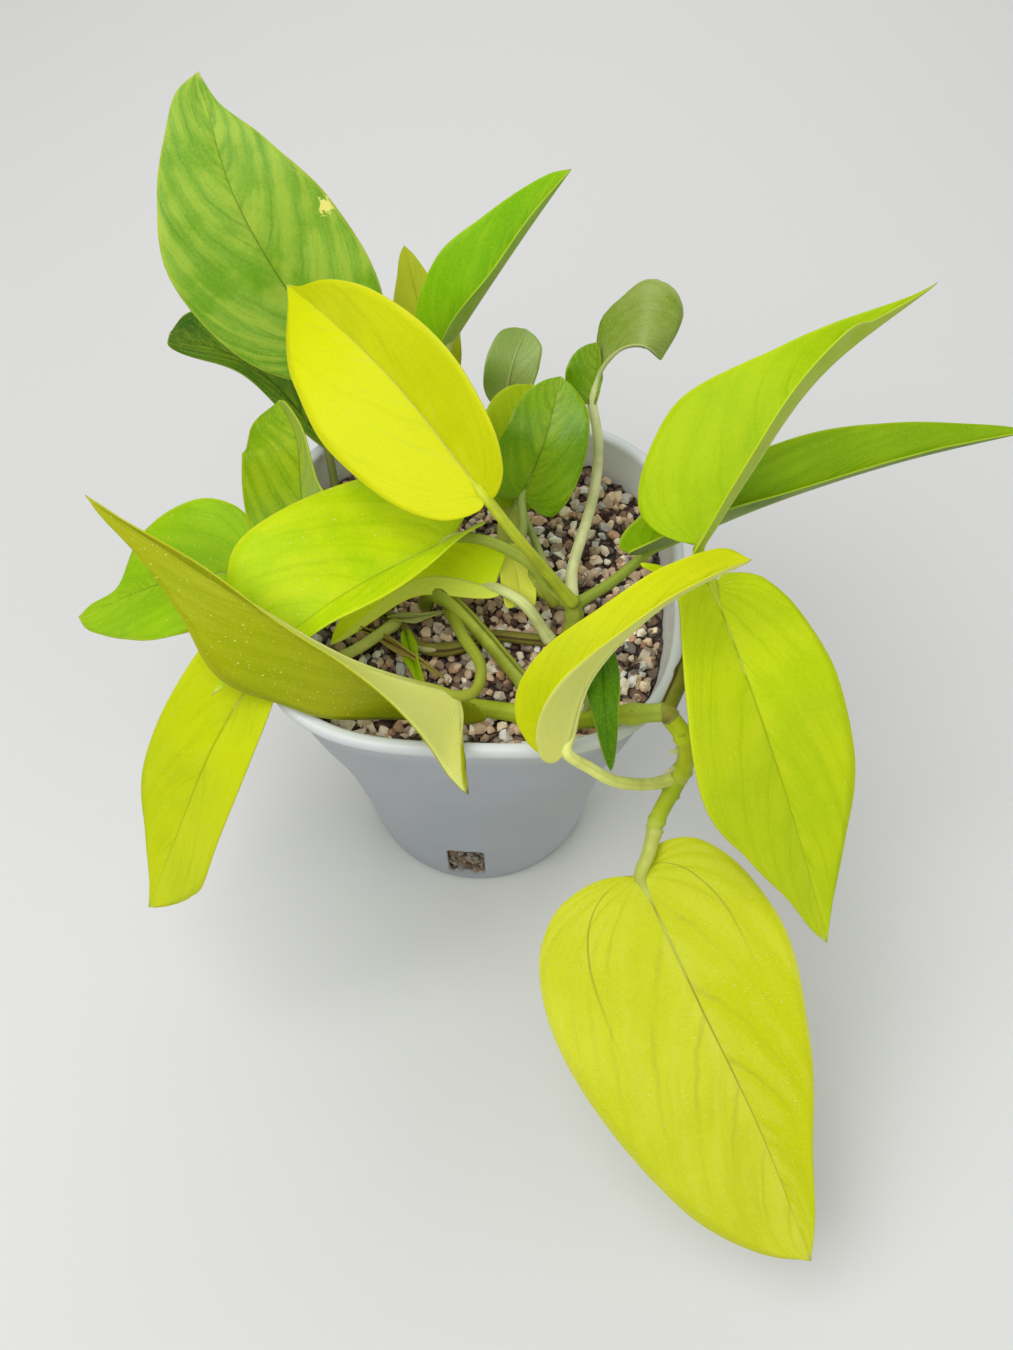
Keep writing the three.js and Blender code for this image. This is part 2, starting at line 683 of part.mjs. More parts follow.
    petiole: [seen(573, 606, 132), seen(612, 582, 139), seen(639, 560, 144)],
    petioleRadius: 1.8,
  },
  {
    name: 'leaf_small_back',
    colour: 'olive',
    midrib: [seen(505, 402, 150), seen(512, 365, 162), seen(526, 329, 168)],
    faces: [[0, 0.7, -0.7], [0, 0.7, -0.7]],
    left: { width: 8.5, fold: [-10, -10], widest: 0.5, taper: [0.95, 0.85, 0.5] },
    right: { width: 8.5, fold: [-10, -10], widest: 0.5, taper: [0.95, 0.85, 0.5] },
    petiole: [seen(558, 596, 136), seen(541, 556, 132), seen(516, 490, 134), seen(507, 430, 142)],
    petioleRadius: 1.3,
  },
  {
    name: 'leaf_curled_back',
    colour: 'dark',
    midrib: [
      seen(592, 401, 165), seen(601, 371, 172), seen(622, 349, 180),
      seen(645, 346, 184), seen(661, 360, 178),
    ],
    faces: [[0.1, 0.6, -0.7], [0.1, 0.6, -0.7]],
    left: { width: 11, fold: [100, 80], reach: 0.5, widest: 0.25, taper: [0.5, 0.3, 0.1] },
    right: {
      width: 18, fold: [0, 0], lobe: 0.03, reach: 0.15, waist: 0.6,
      widest: 0.75, taper: [0.95, 0.75, 0.4],
    },
    petiole: [seen(572, 600, 131), seen(572, 572, 134), seen(594, 493, 145), seen(598, 440, 155)],
    petioleRadius: 1.8,
  },
  {
    name: 'leaf_new_rolled',
    colour: 'green',
    midrib: [seen(406, 634, 128), seen(413, 661, 129), seen(424, 692, 128)],
    faces: [[0, -0.5, 0.85], [0, -0.5, 0.85]],
    left: { width: 3.2, fold: [20, 20], taper: [0.8, 0.6, 0.4] },
    right: { width: 3.2, fold: [20, 20], taper: [0.8, 0.6, 0.4] },
  },
];

// Vines: each is a list of runs that grew as one stem
const vines = [
  {
    name: 'vine_crown',
    runs: [
      {
        radius: 2.6,
        points: [
          [27, -18, 112], [30, -12, 133], [22, -9, 137], [13, 2, 139],
          [9, 8, 139],
        ],
      },
      {
        radius: 1.9,
        points: [
          [28, -18, 122], [17, -19, 125.5], [3, -18, 125.5], [-4, -22, 125.5],
          [-16, -22, 125.5], [-23, -13, 125.5], [-32, -5, 126], [-39, 11, 127],
          [-43, 32, 128],
        ],
      },
    ],
  },
  {
    name: 'vine_front',
    runs: [
      {
        radius: 2.5,
        points: [
          [-16, -4, 116], [-13, -7, 132], [-8, -10, 134], [13, -34, 129],
          [22, -46, 127],
        ],
      },
      {
        radius: 2.7,
        points: [
          [-5, -43, 126], [8, -45, 126], [30, -50, 129], [41, -55, 139.5],
          [55, -54, 139.5],
        ],
      },
      { radius: 2.4, points: [[55, -54, 139.5], [62, -38, 139.5], [67, -23, 140], [67, -9, 146]] },
      { radius: 2.7, points: [[55, -54, 139.5], [60, -59, 135], [62, -60, 126], [61, -61, 114]] },
      { radius: 2.5, points: [[61, -61, 114], [56, -67, 104], [54, -71, 101]] },
    ],
  },
];

function makeVine(vine, extra = 0) {
  return join(vine.runs.map((run) => tube(run.points, run.radius + extra, vineSides, vineStep)));
}

// Colours of the plant, pot and grit
const palette = {
  green: 0x6fae00,
  dark: 0x3d7000,
  lime: 0xb9d400,
  yellow: 0xd8e600,
  olive: 0xa5ad10,
  stem: 0x8fae2a,
  pot: 0x9a9fa5,
  grit: 0xb89a7c,
};

const model = new THREE.Group();

function addMesh(name, solid, colour, roughness = 0.5) {
  const material = new THREE.MeshStandardMaterial({ color: palette[colour], roughness, metalness: 0 });
  const mesh = new THREE.Mesh(geometryFromSolid(solid), material);
  mesh.name = name;
  model.add(mesh);
}

const stemHoles = vines.map((vine) => makeVine(vine, clearance));
addMesh('pot', makePot(), 'pot');
addMesh('grit', makeGrit(stemHoles), 'grit', 0.95);
for (const vine of vines) {
  addMesh(vine.name, makeVine(vine), 'stem');
}
for (const leaf of leaves) {
  addMesh(leaf.name, makeLeaf(leaf, stemHoles), leaf.colour);
}

export default model;
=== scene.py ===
import bisect
import math
import random

import bpy
from mathutils import Euler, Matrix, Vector, noise


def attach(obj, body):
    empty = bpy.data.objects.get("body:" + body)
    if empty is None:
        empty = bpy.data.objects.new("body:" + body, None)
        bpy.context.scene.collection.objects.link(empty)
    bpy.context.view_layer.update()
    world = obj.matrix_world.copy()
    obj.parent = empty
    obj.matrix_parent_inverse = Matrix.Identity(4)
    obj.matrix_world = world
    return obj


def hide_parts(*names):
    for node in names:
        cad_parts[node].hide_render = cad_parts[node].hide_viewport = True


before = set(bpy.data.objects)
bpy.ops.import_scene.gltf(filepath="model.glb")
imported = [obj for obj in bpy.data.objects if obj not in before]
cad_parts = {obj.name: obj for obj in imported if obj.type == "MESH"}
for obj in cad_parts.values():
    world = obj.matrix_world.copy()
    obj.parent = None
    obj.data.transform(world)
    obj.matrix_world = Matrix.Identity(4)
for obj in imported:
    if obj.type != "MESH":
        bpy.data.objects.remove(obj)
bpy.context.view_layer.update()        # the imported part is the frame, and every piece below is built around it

mm = 0.001

# The photograph's camera, in millimetres from the middle of the pot's foot
photo = {
    "place": (10.1, -255.7, 462),
    "pitch": 56.4,
    "focalPixels": 1350,
    "centre": (506.5, 675),
    "lens": 36,
    "film": 36,
}

pot = {
    "rimHalfWidth": 65, "height": 136, "lipHeight": 4, "wall": 1.8, "floor": 2.4,
    "yaw": -2, "squareness": 3.1, "sides": 144,
    # height and outside half-width, from the foot up to the underside of the lip
    "wallProfile": [
        (0, 38.5), (0.8, 40), (3, 40.8), (8, 41.6), (14, 42.3), (24, 43.3), (34, 44.5), (50, 46.6),
        (66, 49), (82, 52.4), (99, 56.5), (109, 58.5), (119, 60.3), (126, 61.7), (132, 63),
    ],
    # in from the rim's edge and down from its top, round the lip to the inside
    "lipProfile": [
        (0.9, 3.9), (0.35, 3.7), (0.05, 3.1), (0, 2), (0.15, 1), (0.6, 0.3), (1.3, 0), (2.4, 0),
        (3.1, 0.2), (3.6, 0.7), (3.85, 1.5),
    ],
    "insideHeights": [130, 126, 119, 109, 99, 82, 66, 50, 34, 24, 14, 6],
    "slot": {"width": 13.5, "height": 24, "corner": 2.5, "bottom": 6.5, "yaw": -6, "reach": 42, "depth": 14},
}

grit = {
    "top": 122, "pitch": 3.7, "jitter": 0.6, "smallest": 1.6, "largest": 2.75, "rise": 1.6,
    "wallGap": 0.8, "seed": 11,
    # a layer's light factor darkens its grains: 0.62 on the lower layer is painted shade between the upper grains
    "layers": [
        {"shift": 0.5, "lift": -0.6, "size": 0.9, "light": 0.62, "inset": 0.3},
        {"shift": 0, "lift": 0.3, "size": 1, "light": 1, "inset": 0.7},
    ],
    # the grains' colours and how many of each there are
    "mix": [
        ((242, 212, 178), 28), ((226, 192, 160), 18), ((248, 232, 208), 20), ((194, 152, 118), 7),
        ((226, 224, 218), 13), ((150, 136, 124), 5), ((78, 54, 52), 9),
    ],
}

blade = {
    "thickness": 0.5, "rows": 66, "columns": 13, "crowding": 1.35,
    "veinSlant": 0.28, "waveHeight": 1, "waves": 1.5, "phases": {"right": 0.6, "left": 2.4},
    "veins": 11, "veinDepth": 0.16, "veinBend": 0.16, "grooveDepth": 0.35, "grooveWidth": 1.1,
    "crumple": 0.35, "crumpleSize": 14,
}
plainHalf = {"lobe": 0.05, "reach": 0.35, "waist": 0, "widest": 0.4, "taper": [0.75, 0.5, 0.25]}
stalk = {"sides": 14, "step": 1.4, "ribStart": 0.05, "ribWidth": 0.62, "tip": 0.22, "flare": 1.22}


def mix(a, b, t):
    return a + (b - a) * t


def clamp(value, low=0.0, high=1.0):
    return max(low, min(high, value))


def smooth(t):
    return t * t * (3 - 2 * t)


def paint(red, green, blue):
    # a colour as a screen shows it, turned into the light values that a shader works with
    def light(part):
        share = part / 255
        return share / 12.92 if share <= 0.04045 else ((share + 0.055) / 1.055) ** 2.4
    return (light(red), light(green), light(blue), 1.0)


def shade(colour, factor):
    return tuple(clamp(part * factor) for part in colour[:3]) + (1.0,)


def between(a, b, t):
    return tuple(mix(x, y, t) for x, y in zip(a, b))


def seen(x, y, height):
    # the place in the pot's frame that shows at a pixel of the photograph, at a height above the foot
    pitch = math.radians(photo["pitch"])
    across = (x - photo["centre"][0]) / photo["focalPixels"]
    down = (y - photo["centre"][1]) / photo["focalPixels"]
    reach = (photo["place"][2] - height) / (math.sin(pitch) + down * math.cos(pitch))
    return Vector((
        photo["place"][0] + across * reach,
        photo["place"][1] + (math.cos(pitch) - down * math.sin(pitch)) * reach,
        height,
    ))


class SmoothCurve:
    # a centripetal curve through its points, read by its share of the length
    def __init__(self, points, steps=200):
        self.points = [Vector(point) for point in points]
        self.steps = steps
        samples = [self.at(i / steps) for i in range(steps + 1)]
        self.lengths = [0.0]
        for a, b in zip(samples, samples[1:]):
            self.lengths.append(self.lengths[-1] + (b - a).length)
        self.length = self.lengths[-1]

    def at(self, t):
        spans = len(self.points) - 1
        span = min(int(t * spans), spans - 1)
        w = t * spans - span
        b, c = self.points[span], self.points[span + 1]
        a = self.points[span - 1] if span > 0 else b * 2 - c
        d = self.points[span + 2] if span + 2 <= spans else c * 2 - b
        before, middle, after = ((q - p).length ** 0.5 for p, q in ((a, b), (b, c), (c, d)))
        start = ((b - a) / before - (c - a) / (before + middle) + (c - b) / middle) * middle
        end = ((c - b) / middle - (d - b) / (middle + after) + (d - c) / after) * middle
        square = (c - b) * 3 - start * 2 - end
        cube = (b - c) * 2 + start + end
        return b + start * w + square * w * w + cube * w * w * w

    def turn(self, share):
        target = clamp(share) * self.length
        i = clamp(bisect.bisect_left(self.lengths, target), 1, self.steps)
        low, high = self.lengths[i - 1], self.lengths[i]
        return (i - 1 + (target - low) / max(high - low, 1e-9)) / self.steps

    def point(self, share):
        return self.at(self.turn(share))

    def direction(self, share):
        t = self.turn(share)
        return (self.at(min(1, t + 1e-4)) - self.at(max(0, t - 1e-4))).normalized()


# Shader maths: an expression on wires adds the Math nodes that it needs
class Wire:
    def __init__(self, finish, socket):
        self.finish = finish
        self.socket = socket

    def maths(self, operation, first, second=0.0):
        sockets = {0: first, 1: second}
        return self.finish.node("ShaderNodeMath", {"operation": operation}, sockets)

    def __add__(self, other):
        return self.maths("ADD", self, other)

    def __sub__(self, other):
        return self.maths("SUBTRACT", self, other)

    def __mul__(self, other):
        return self.maths("MULTIPLY", self, other)

    def __truediv__(self, other):
        return self.maths("DIVIDE", self, other)

    def __pow__(self, other):
        return self.maths("POWER", self, other)

    def __radd__(self, other):
        return self.maths("ADD", other, self)

    def __rsub__(self, other):
        return self.maths("SUBTRACT", other, self)

    def __rmul__(self, other):
        return self.maths("MULTIPLY", other, self)

    def __abs__(self):
        return self.maths("ABSOLUTE", self)


class Finish:
    # one material, and the nodes that make it
    def __init__(self, name, **fixed):
        self.material = bpy.data.materials.new(name)
        self.material.use_nodes = True
        self.tree = self.material.node_tree
        self.shader = self.tree.nodes["Principled BSDF"]
        for socket, value in fixed.items():
            self.shader.inputs[socket.replace("_", " ")].default_value = value

    def node(self, kind, settings=None, sockets=None, output=0):
        made = self.tree.nodes.new(kind)
        for key, value in (settings or {}).items():
            if key == "stops":
                ramp = made.color_ramp.elements
                while len(ramp) < len(value):
                    ramp.new(0.5)
                for element, (position, colour) in zip(ramp, value):
                    element.position = position
                    element.color = colour
            else:
                setattr(made, key, value)
        for key, value in (sockets or {}).items():
            if isinstance(value, Wire):
                self.tree.links.new(value.socket, made.inputs[key])
            else:
                made.inputs[key].default_value = value
        return Wire(self, made.outputs[output])

    def blend(self, factor, a, b):
        return self.node("ShaderNodeMix", {"data_type": "RGBA"}, {0: factor, 6: a, 7: b}, 2)

    def step(self, value, low, high):
        sockets = {"Value": value, "From Min": low, "From Max": high}
        return self.node("ShaderNodeMapRange", {"interpolation_type": "SMOOTHSTEP"}, sockets)

    def noise(self, where, scale, detail=2.0, roughness=0.5):
        sockets = {"Vector": where, "Scale": scale, "Detail": detail, "Roughness": roughness}
        return self.node("ShaderNodeTexNoise", None, sockets)

    def axis(self, vector, number):
        return self.node("ShaderNodeSeparateXYZ", None, {0: vector}, number)

    def cells(self, where, scale, output=0, feature="F1"):
        return self.node("ShaderNodeTexVoronoi", {"feature": feature}, {"Vector": where, "Scale": scale}, output)

    def first(self, colour):
        # the red share of a cell's own colour, as a chance number
        return self.node("ShaderNodeSeparateColor", None, {0: colour})

    def lay(self, mask, tone):
        # one more layer over the colour that is there
        self.colour = self.blend(mask, self.colour, tone)

    def objectPlace(self):
        return self.node("ShaderNodeTexCoord", None, None, 3)

    def own(self, name, output=2):
        # one of the piece's own vertex values, or its own colour from output 0
        return self.node("ShaderNodeAttribute", {"attribute_name": name}, None, output)

    def feed(self, **sockets):
        for socket, wire in sockets.items():
            self.tree.links.new(wire.socket, self.shader.inputs[socket.replace("_", " ")])

    def bump(self, height, distance, strength=1.0):
        sockets = {"Height": height, "Distance": distance, "Strength": strength}
        self.feed(Normal=self.node("ShaderNodeBump", None, sockets))


def mode(name):
    bpy.ops.object.mode_set(mode=name)


def leaveAll():
    for thing in bpy.context.selected_objects:
        thing.select_set(False)


def choose(thing):
    leaveAll()
    thing.select_set(True)
    bpy.context.view_layer.objects.active = thing


def meshPiece(name, points, faces, values=None, uv=None):
    # a piece from points in millimetres; values are per-point numbers or colours
    mesh = bpy.data.meshes.new(name)
    mesh.from_pydata([Vector(point) * mm for point in points], [], faces)
    for key, numbers in (values or {}).items():
        if isinstance(numbers[0], tuple):
            layer = mesh.attributes.new(key, "FLOAT_COLOR", "POINT")
            layer.data.foreach_set("color", [part for colour in numbers for part in colour])
        else:
            layer = mesh.attributes.new(key, "FLOAT", "POINT")
            layer.data.foreach_set("value", numbers)
    if uv:
        layer = mesh.uv_layers.new(name="leafMap")
        for loop in mesh.loops:
            layer.data[loop.index].uv = uv[loop.vertex_index]
    mesh.update()
    piece = bpy.data.objects.new(name, mesh)
    bpy.context.scene.collection.objects.link(piece)
    for polygon in mesh.polygons:
        polygon.use_smooth = True
    return piece


def applyModifier(piece, kind, **settings):
    choose(piece)
    modifier = piece.modifiers.new(kind.title(), kind)
    for key, value in settings.items():
        setattr(modifier, key, value)
    bpy.ops.object.modifier_apply(modifier=modifier.name)


def joinPieces(pieces, name):
    leaveAll()
    for piece in pieces:
        piece.select_set(True)
    bpy.context.view_layer.objects.active = pieces[0]
    if len(pieces) > 1:
        bpy.ops.object.join()
    pieces[0].name = name
    return pieces[0]


def pieceName(node):
    return "".join(part.title() if i else part for i, part in enumerate(node.split("_")))


def settle(piece, node):
    # the piece rides on the plant's one body and stands for its CAD node
    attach(piece, "root")
    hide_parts(node)


# Pot
def squarenessAt(height):
    return mix(2, pot["squareness"], min(1, height / (pot["height"] - pot["lipHeight"])))


def wallHalfWidth(height):
    for (low, lowHalf), (high, highHalf) in zip(pot["wallProfile"], pot["wallProfile"][1:]):
        if height <= high:
            return mix(lowHalf, highHalf, clamp((height - low) / (high - low)))
    return pot["wallProfile"][-1][1]


def squareRadius(halfWidth, squareness, angle):
    c = abs(math.cos(angle)) ** squareness
    s = abs(math.sin(angle)) ** squareness
    return halfWidth / (c + s) ** (1 / squareness)


def potFinish():
    finish = Finish("potPlastic", Roughness=0.36, IOR=1.48, Subsurface_Weight=0.08, Subsurface_Scale=0.004)
    place = finish.objectPlace()
    height = finish.axis(place, 2)
    clouds = finish.noise(place, 38, 3)
    specks = finish.noise(place, 900, 2)
    nearRim = finish.step(height, 0.1315, 0.1335)
    finish.colour = finish.blend(clouds, paint(158, 163, 172), paint(176, 181, 188))
    finish.lay(finish.step(height, 0.118, 0.13) * 0.55, paint(205, 209, 212))
    # a painted highlight along the mould's parting line, the painted shade under the lip, the inside wall painted
    # lighter as painted light, and the lip
    finish.lay((1 - finish.step(abs(height - 0.1275), 0.0001, 0.0005)) * 0.4, paint(226, 228, 230))
    finish.lay(finish.step(height, 0.1296, 0.1308) * 0.3, paint(120, 124, 130))
    # painted light: the inside wall is lighter than the outside
    finish.lay(finish.own("inside"), paint(222, 225, 223))
    finish.lay(nearRim, paint(216, 220, 220))
    finish.lay(finish.step(finish.noise(place, 150, 4, 0.7), 0.66, 0.8) * 0.18, paint(120, 118, 110))
    finish.feed(Base_Color=finish.colour, Roughness=0.3 + clouds * 0.1 + specks * 0.06)
    finish.bump(specks, 0.00012, 0.35)
    return finish.material


def makePot():
    rings = [(half, height, squarenessAt(height)) for height, half in pot["wallProfile"]]
    rings += [(pot["rimHalfWidth"] - inset, pot["height"] - drop, pot["squareness"])
              for inset, drop in pot["lipProfile"]]
    rings += [(wallHalfWidth(height) - pot["wall"], height, squarenessAt(height))
              for height in pot["insideHeights"]]
    rings.append((wallHalfWidth(0) - pot["wall"], pot["floor"], 2))
    leaveAll()
    bpy.ops.mesh.primitive_circle_add(vertices=pot["sides"], radius=1, fill_type="NGON")
    piece = bpy.context.object
    piece.name = "potShell"
    corners = {}

    def shapeRing(ring):
        halfWidth, height, squareness = ring
        mode("OBJECT")
        for vertex in piece.data.vertices:
            if vertex.select:
                angle = corners.setdefault(vertex.index, math.atan2(vertex.co.y, vertex.co.x))
                reach = squareRadius(halfWidth, squareness, angle - math.radians(pot["yaw"])) * mm
                vertex.co = (reach * math.cos(angle), reach * math.sin(angle), height * mm)
        mode("EDIT")

    mode("EDIT")
    bpy.ops.mesh.select_all(action="SELECT")
    shapeRing(rings[0])
    for ring in rings[1:]:
        bpy.ops.mesh.extrude_region_move()
        shapeRing(ring)
    bpy.ops.mesh.select_all(action="SELECT")
    bpy.ops.mesh.normals_make_consistent(inside=False)
    mode("OBJECT")
    slot = pot["slot"]
    for quarter in range(4):
        turn = math.radians(quarter * 90 + slot["yaw"] - 90)
        middle = Vector((math.cos(turn), math.sin(turn), 0)) * slot["reach"] * mm
        middle.z = (slot["bottom"] + slot["height"] / 2) * mm
        leaveAll()
        bpy.ops.mesh.primitive_cube_add(size=1, location=middle, rotation=(0, 0, turn))
        cutter = bpy.context.object
        cutter.scale = (slot["depth"] * mm, slot["width"] * mm, slot["height"] * mm)
        choose(cutter)
        bpy.ops.object.transform_apply()
        along = Vector((math.cos(turn), math.sin(turn), 0))
        mode("EDIT")
        bpy.ops.mesh.select_all(action="DESELECT")
        mode("OBJECT")
        for edge in cutter.data.edges:
            a, b = (cutter.data.vertices[i].co for i in edge.vertices)
            edge.select = abs((b - a).normalized().dot(along)) > 0.99
        mode("EDIT")
        bpy.ops.mesh.bevel(offset=slot["corner"] * mm, segments=5)
        mode("OBJECT")
        applyModifier(piece, "BOOLEAN", operation="DIFFERENCE", object=cutter, solver="EXACT")
        bpy.data.objects.remove(cutter)
    choose(piece)
    bpy.ops.object.shade_smooth_by_angle(angle=math.radians(38))
    inside = piece.data.attributes.new("inside", "FLOAT", "POINT")
    for vertex in piece.data.vertices:
        x, y, height = vertex.co / mm
        angle = math.atan2(y, x) - math.radians(pot["yaw"])
        outer = squareRadius(wallHalfWidth(height), squarenessAt(height), angle)
        inside.data[vertex.index].value = float(math.hypot(x, y) < outer - pot["wall"] / 2)
    piece.data.materials.clear()
    piece.data.materials.append(potFinish())
    settle(piece, "pot")


# Grit
def gritFinish():
    finish = Finish("gritGrains", Roughness=0.85, IOR=1.45)
    place = finish.objectPlace()
    fine = finish.noise(place, 1400, 4, 0.65)
    broad = finish.noise(place, 420, 3, 0.6)
    finish.colour = finish.own("grainColour", 0)
    finish.lay(finish.step(broad, 0.5, 0.75) * 0.5, paint(110, 84, 66))
    finish.lay(finish.step(fine, 0.52, 0.75) * 0.55, paint(232, 215, 192))
    finish.feed(Base_Color=finish.colour, Roughness=0.72 + fine * 0.25)
    finish.bump(fine * 0.6 + broad * 0.6, 0.0004, 0.6)
    return finish.material


def gritBedFinish():
    finish = Finish("gritBed", Roughness=0.9)
    place = finish.objectPlace()
    # painted shade: the bed's dark browns and its near-black cell edges stand for the shaded gaps between the
    # grains
    kind = finish.first(finish.cells(place, 230, 1))
    stops = [(0.0, paint(86, 66, 56)), (0.4, paint(138, 112, 90)), (0.75, paint(108, 84, 68)),
             (1.0, paint(128, 122, 112))]
    tone = finish.node("ShaderNodeValToRGB", {"stops": stops}, {0: kind})
    edge = finish.step(finish.cells(place, 230, 0, "DISTANCE_TO_EDGE"), 0.0, 0.16)
    finish.feed(Base_Color=finish.blend(edge, paint(38, 27, 24), tone))
    finish.bump(edge, 0.001, 0.8)
    return finish.material


def grainShape():
    # a cube with its edges cut off
    leaveAll()
    bpy.ops.mesh.primitive_cube_add(size=1.56)
    stone = bpy.context.object
    mode("EDIT")
    bpy.ops.mesh.select_all(action="SELECT")
    bpy.ops.mesh.bevel(offset=0.4, segments=1)
    mode("OBJECT")
    points = [vertex.co.copy() for vertex in stone.data.vertices]
    faces = [tuple(polygon.vertices) for polygon in stone.data.polygons]
    bpy.data.objects.remove(stone)
    return points, faces


def makeGrit():
    chance = random.Random(grit["seed"])
    shape, shapeFaces = grainShape()
    colours = [paint(*colour) for colour, share in grit["mix"]]
    shares = [share for colour, share in grit["mix"]]
    points, faces, tones = [], [], []

    def addGrain(middle, size, light=1):
        # one stone: stretched, lumpy, chipped flat on a few sides, turned and coloured by chance, then scaled by
        # its light factor, which is painted shade where it is below 1
        first = len(points)
        stretch = Vector((chance.uniform(0.8, 1.25), chance.uniform(0.75, 1.1), chance.uniform(0.65, 1)))
        spin = Euler((chance.uniform(-0.8, 0.8), chance.uniform(-0.8, 0.8), chance.uniform(0, 6.28)))
        colour = shade(chance.choices(colours, shares)[0], light * chance.uniform(0.74, 1.3))
        lumps = Vector((chance.uniform(-50, 50), chance.uniform(-50, 50), chance.uniform(-50, 50)))
        chips = [Vector(noise.random_unit_vector()) for side in range(7)]
        for corner in shape:
            grown = corner * (1.06 + 0.5 * noise.noise(corner * 1.4 + lumps))
            for chip in chips:
                over = grown.dot(chip) - 0.56
                if over > 0:
                    grown = grown - chip * over * 0.92
            grown = Vector(grown * stretch) * size
            grown.rotate(spin)
            points.append(middle + grown)
            tones.append(colour)
        faces.extend(tuple(first + i for i in face) for face in shapeFaces)

    span = int(pot["rimHalfWidth"] * 1.2 / grit["pitch"]) + 1
    slack = grit["pitch"] * grit["jitter"]
    noise.seed_set(grit["seed"])
    for layer in grit["layers"]:
        for row in range(-span, span + 1):
            for column in range(-span, span + 1):
                x = (column + (row % 2) / 2 + layer["shift"]) * grit["pitch"] + chance.uniform(-slack, slack)
                y = row * grit["pitch"] * math.sqrt(0.75) + chance.uniform(-slack, slack)
                size = mix(grit["smallest"], grit["largest"], chance.random() ** 1.5) * layer["size"]
                lift = chance.random() * grit["rise"] + layer["lift"]
                angle = math.atan2(y, x) - math.radians(pot["yaw"])
                room = squareRadius(wallHalfWidth(grit["top"]), squarenessAt(grit["top"]), angle)
                if math.hypot(x, y) < room - pot["wall"] - grit["wallGap"] - size * layer["inset"]:
                    addGrain(Vector((x, y, grit["top"] + lift)), size, layer["light"])
    # the grains that show in the drain windows, darkened to 0.3 as painted shade
    slot = pot["slot"]
    for quarter in range(4):
        turn = math.radians(quarter * 90 + slot["yaw"] - 90)
        for level in range(9):
            for place in range(6):
                height = slot["bottom"] + 1.4 + level * 2.6 + chance.uniform(-0.9, 0.9)
                across = (place - 2.5) * 2.2 + chance.uniform(-0.9, 0.9)
                reach = wallHalfWidth(height) - 2.2
                middle = Vector((
                    math.cos(turn) * reach - math.sin(turn) * across,
                    math.sin(turn) * reach + math.cos(turn) * across,
                    height,
                ))
                addGrain(middle, chance.uniform(1.4, 2.0), 0.3)
    piece = meshPiece("gritGrains", points, faces, {"grainColour": tones})
    choose(piece)
    bpy.ops.object.shade_smooth_by_angle(angle=math.radians(30))
    piece.data.materials.append(gritFinish())
    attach(piece, "root")
    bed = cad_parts["grit"]
    bed.data.materials.clear()
    bed.data.materials.append(gritBedFinish())


# Stems
def tubePoints(curve, radiusAt, sides, step):
    # rings of points along a curve, without twist
    count = max(4, round(curve.length / step))
    previous = None
    rings = []
    for i in range(count + 1):
        share = i / count
        tangent = curve.direction(share)
        if previous is None:
            previous = tangent.orthogonal()
        side = (previous - tangent * previous.dot(tangent)).normalized()
        up = tangent.cross(side)
        previous = side
        centre = curve.point(share)
        radius = radiusAt(share)
        rings.append([
            centre + (side * math.cos(a) + up * math.sin(a)) * radius
            for a in (2 * math.pi * k / sides for k in range(sides))
        ])
    return rings


def tubePiece(name, curve, radiusAt, material):
    sides = stalk["sides"]
    rings = tubePoints(curve, radiusAt, sides, stalk["step"])
    points = [point for ring in rings for point in ring]
    faces = []
    for level in range(len(rings) - 1):
        for k in range(sides):
            a = level * sides + k
            b = level * sides + (k + 1) % sides
            faces.append((a, b, b + sides, a + sides))
    # rounded ends
    for level, direction in ((0, -1), (len(rings) - 1, 1)):
        share = 0 if level == 0 else 1
        tip = curve.point(share) + curve.direction(share) * direction * radiusAt(share) * 0.5
        points.append(tip)
        for k in range(sides):
            a = level * sides + k
            b = level * sides + (k + 1) % sides
            faces.append((b, a, len(points) - 1) if direction < 0 else (a, b, len(points) - 1))
    shares = [level / (len(rings) - 1) for level in range(len(rings)) for k in range(sides)] + [0.0, 1.0]
    around = [abs(2 * k / sides - 1) for level in range(len(rings)) for k in range(sides)] + [0.0, 0.0]
    piece = meshPiece(name, points, faces, {"along": shares, "around": around, "acrossMm": [9.0] * len(points)})
    piece.data.materials.append(material)
    return piece


def stemFinish(name, young, old, patches, seams, rib=None, joinAt=1.0):
    finish = Finish(name, Roughness=0.42, IOR=1.4, Subsurface_Weight=0.06, Subsurface_Scale=0.002,
                    Specular_IOR_Level=0.25)
    place = finish.objectPlace()
    broad = finish.noise(place, 90, 3, 0.6)
    fine = finish.noise(place, 1300, 3, 0.6)
    along = finish.own("along")
    around = finish.own("around")
    finish.colour = finish.blend(finish.step(broad, 0.35, 0.7), young, old)
    # painted shade: the two grooves along the stem are darker
    groove = 1 - finish.step(abs(around - 0.5), 0.03, 0.12)
    finish.lay(groove * (0.12 + seams * 0.4), shade(old, 0.78))
    finish.lay(finish.step(along, 0.75, 1.0) * 0.4, between(young, paint(215, 222, 140), 0.6))
    seam = (1 - finish.step(abs(around - 0.52 + broad * 0.06), 0.03, 0.09)) * seams
    finish.lay(seam, paint(78, 58, 26))
    if rib:
        # past the stalk it is the rib under the leaf
        finish.lay(finish.step(along, joinAt, mix(joinAt, 1, 0.3)) * 0.8, rib)
    finish.lay(finish.step(finish.noise(place, 210, 3, 0.7), 0.64, 0.74) * patches, paint(120, 86, 44))
    finish.feed(Base_Color=finish.colour, Roughness=0.36 + fine * 0.2)
    finish.bump(fine * 0.5 + broad * 0.5 - groove * 0.3, 0.00025, 0.5)
    return finish.material


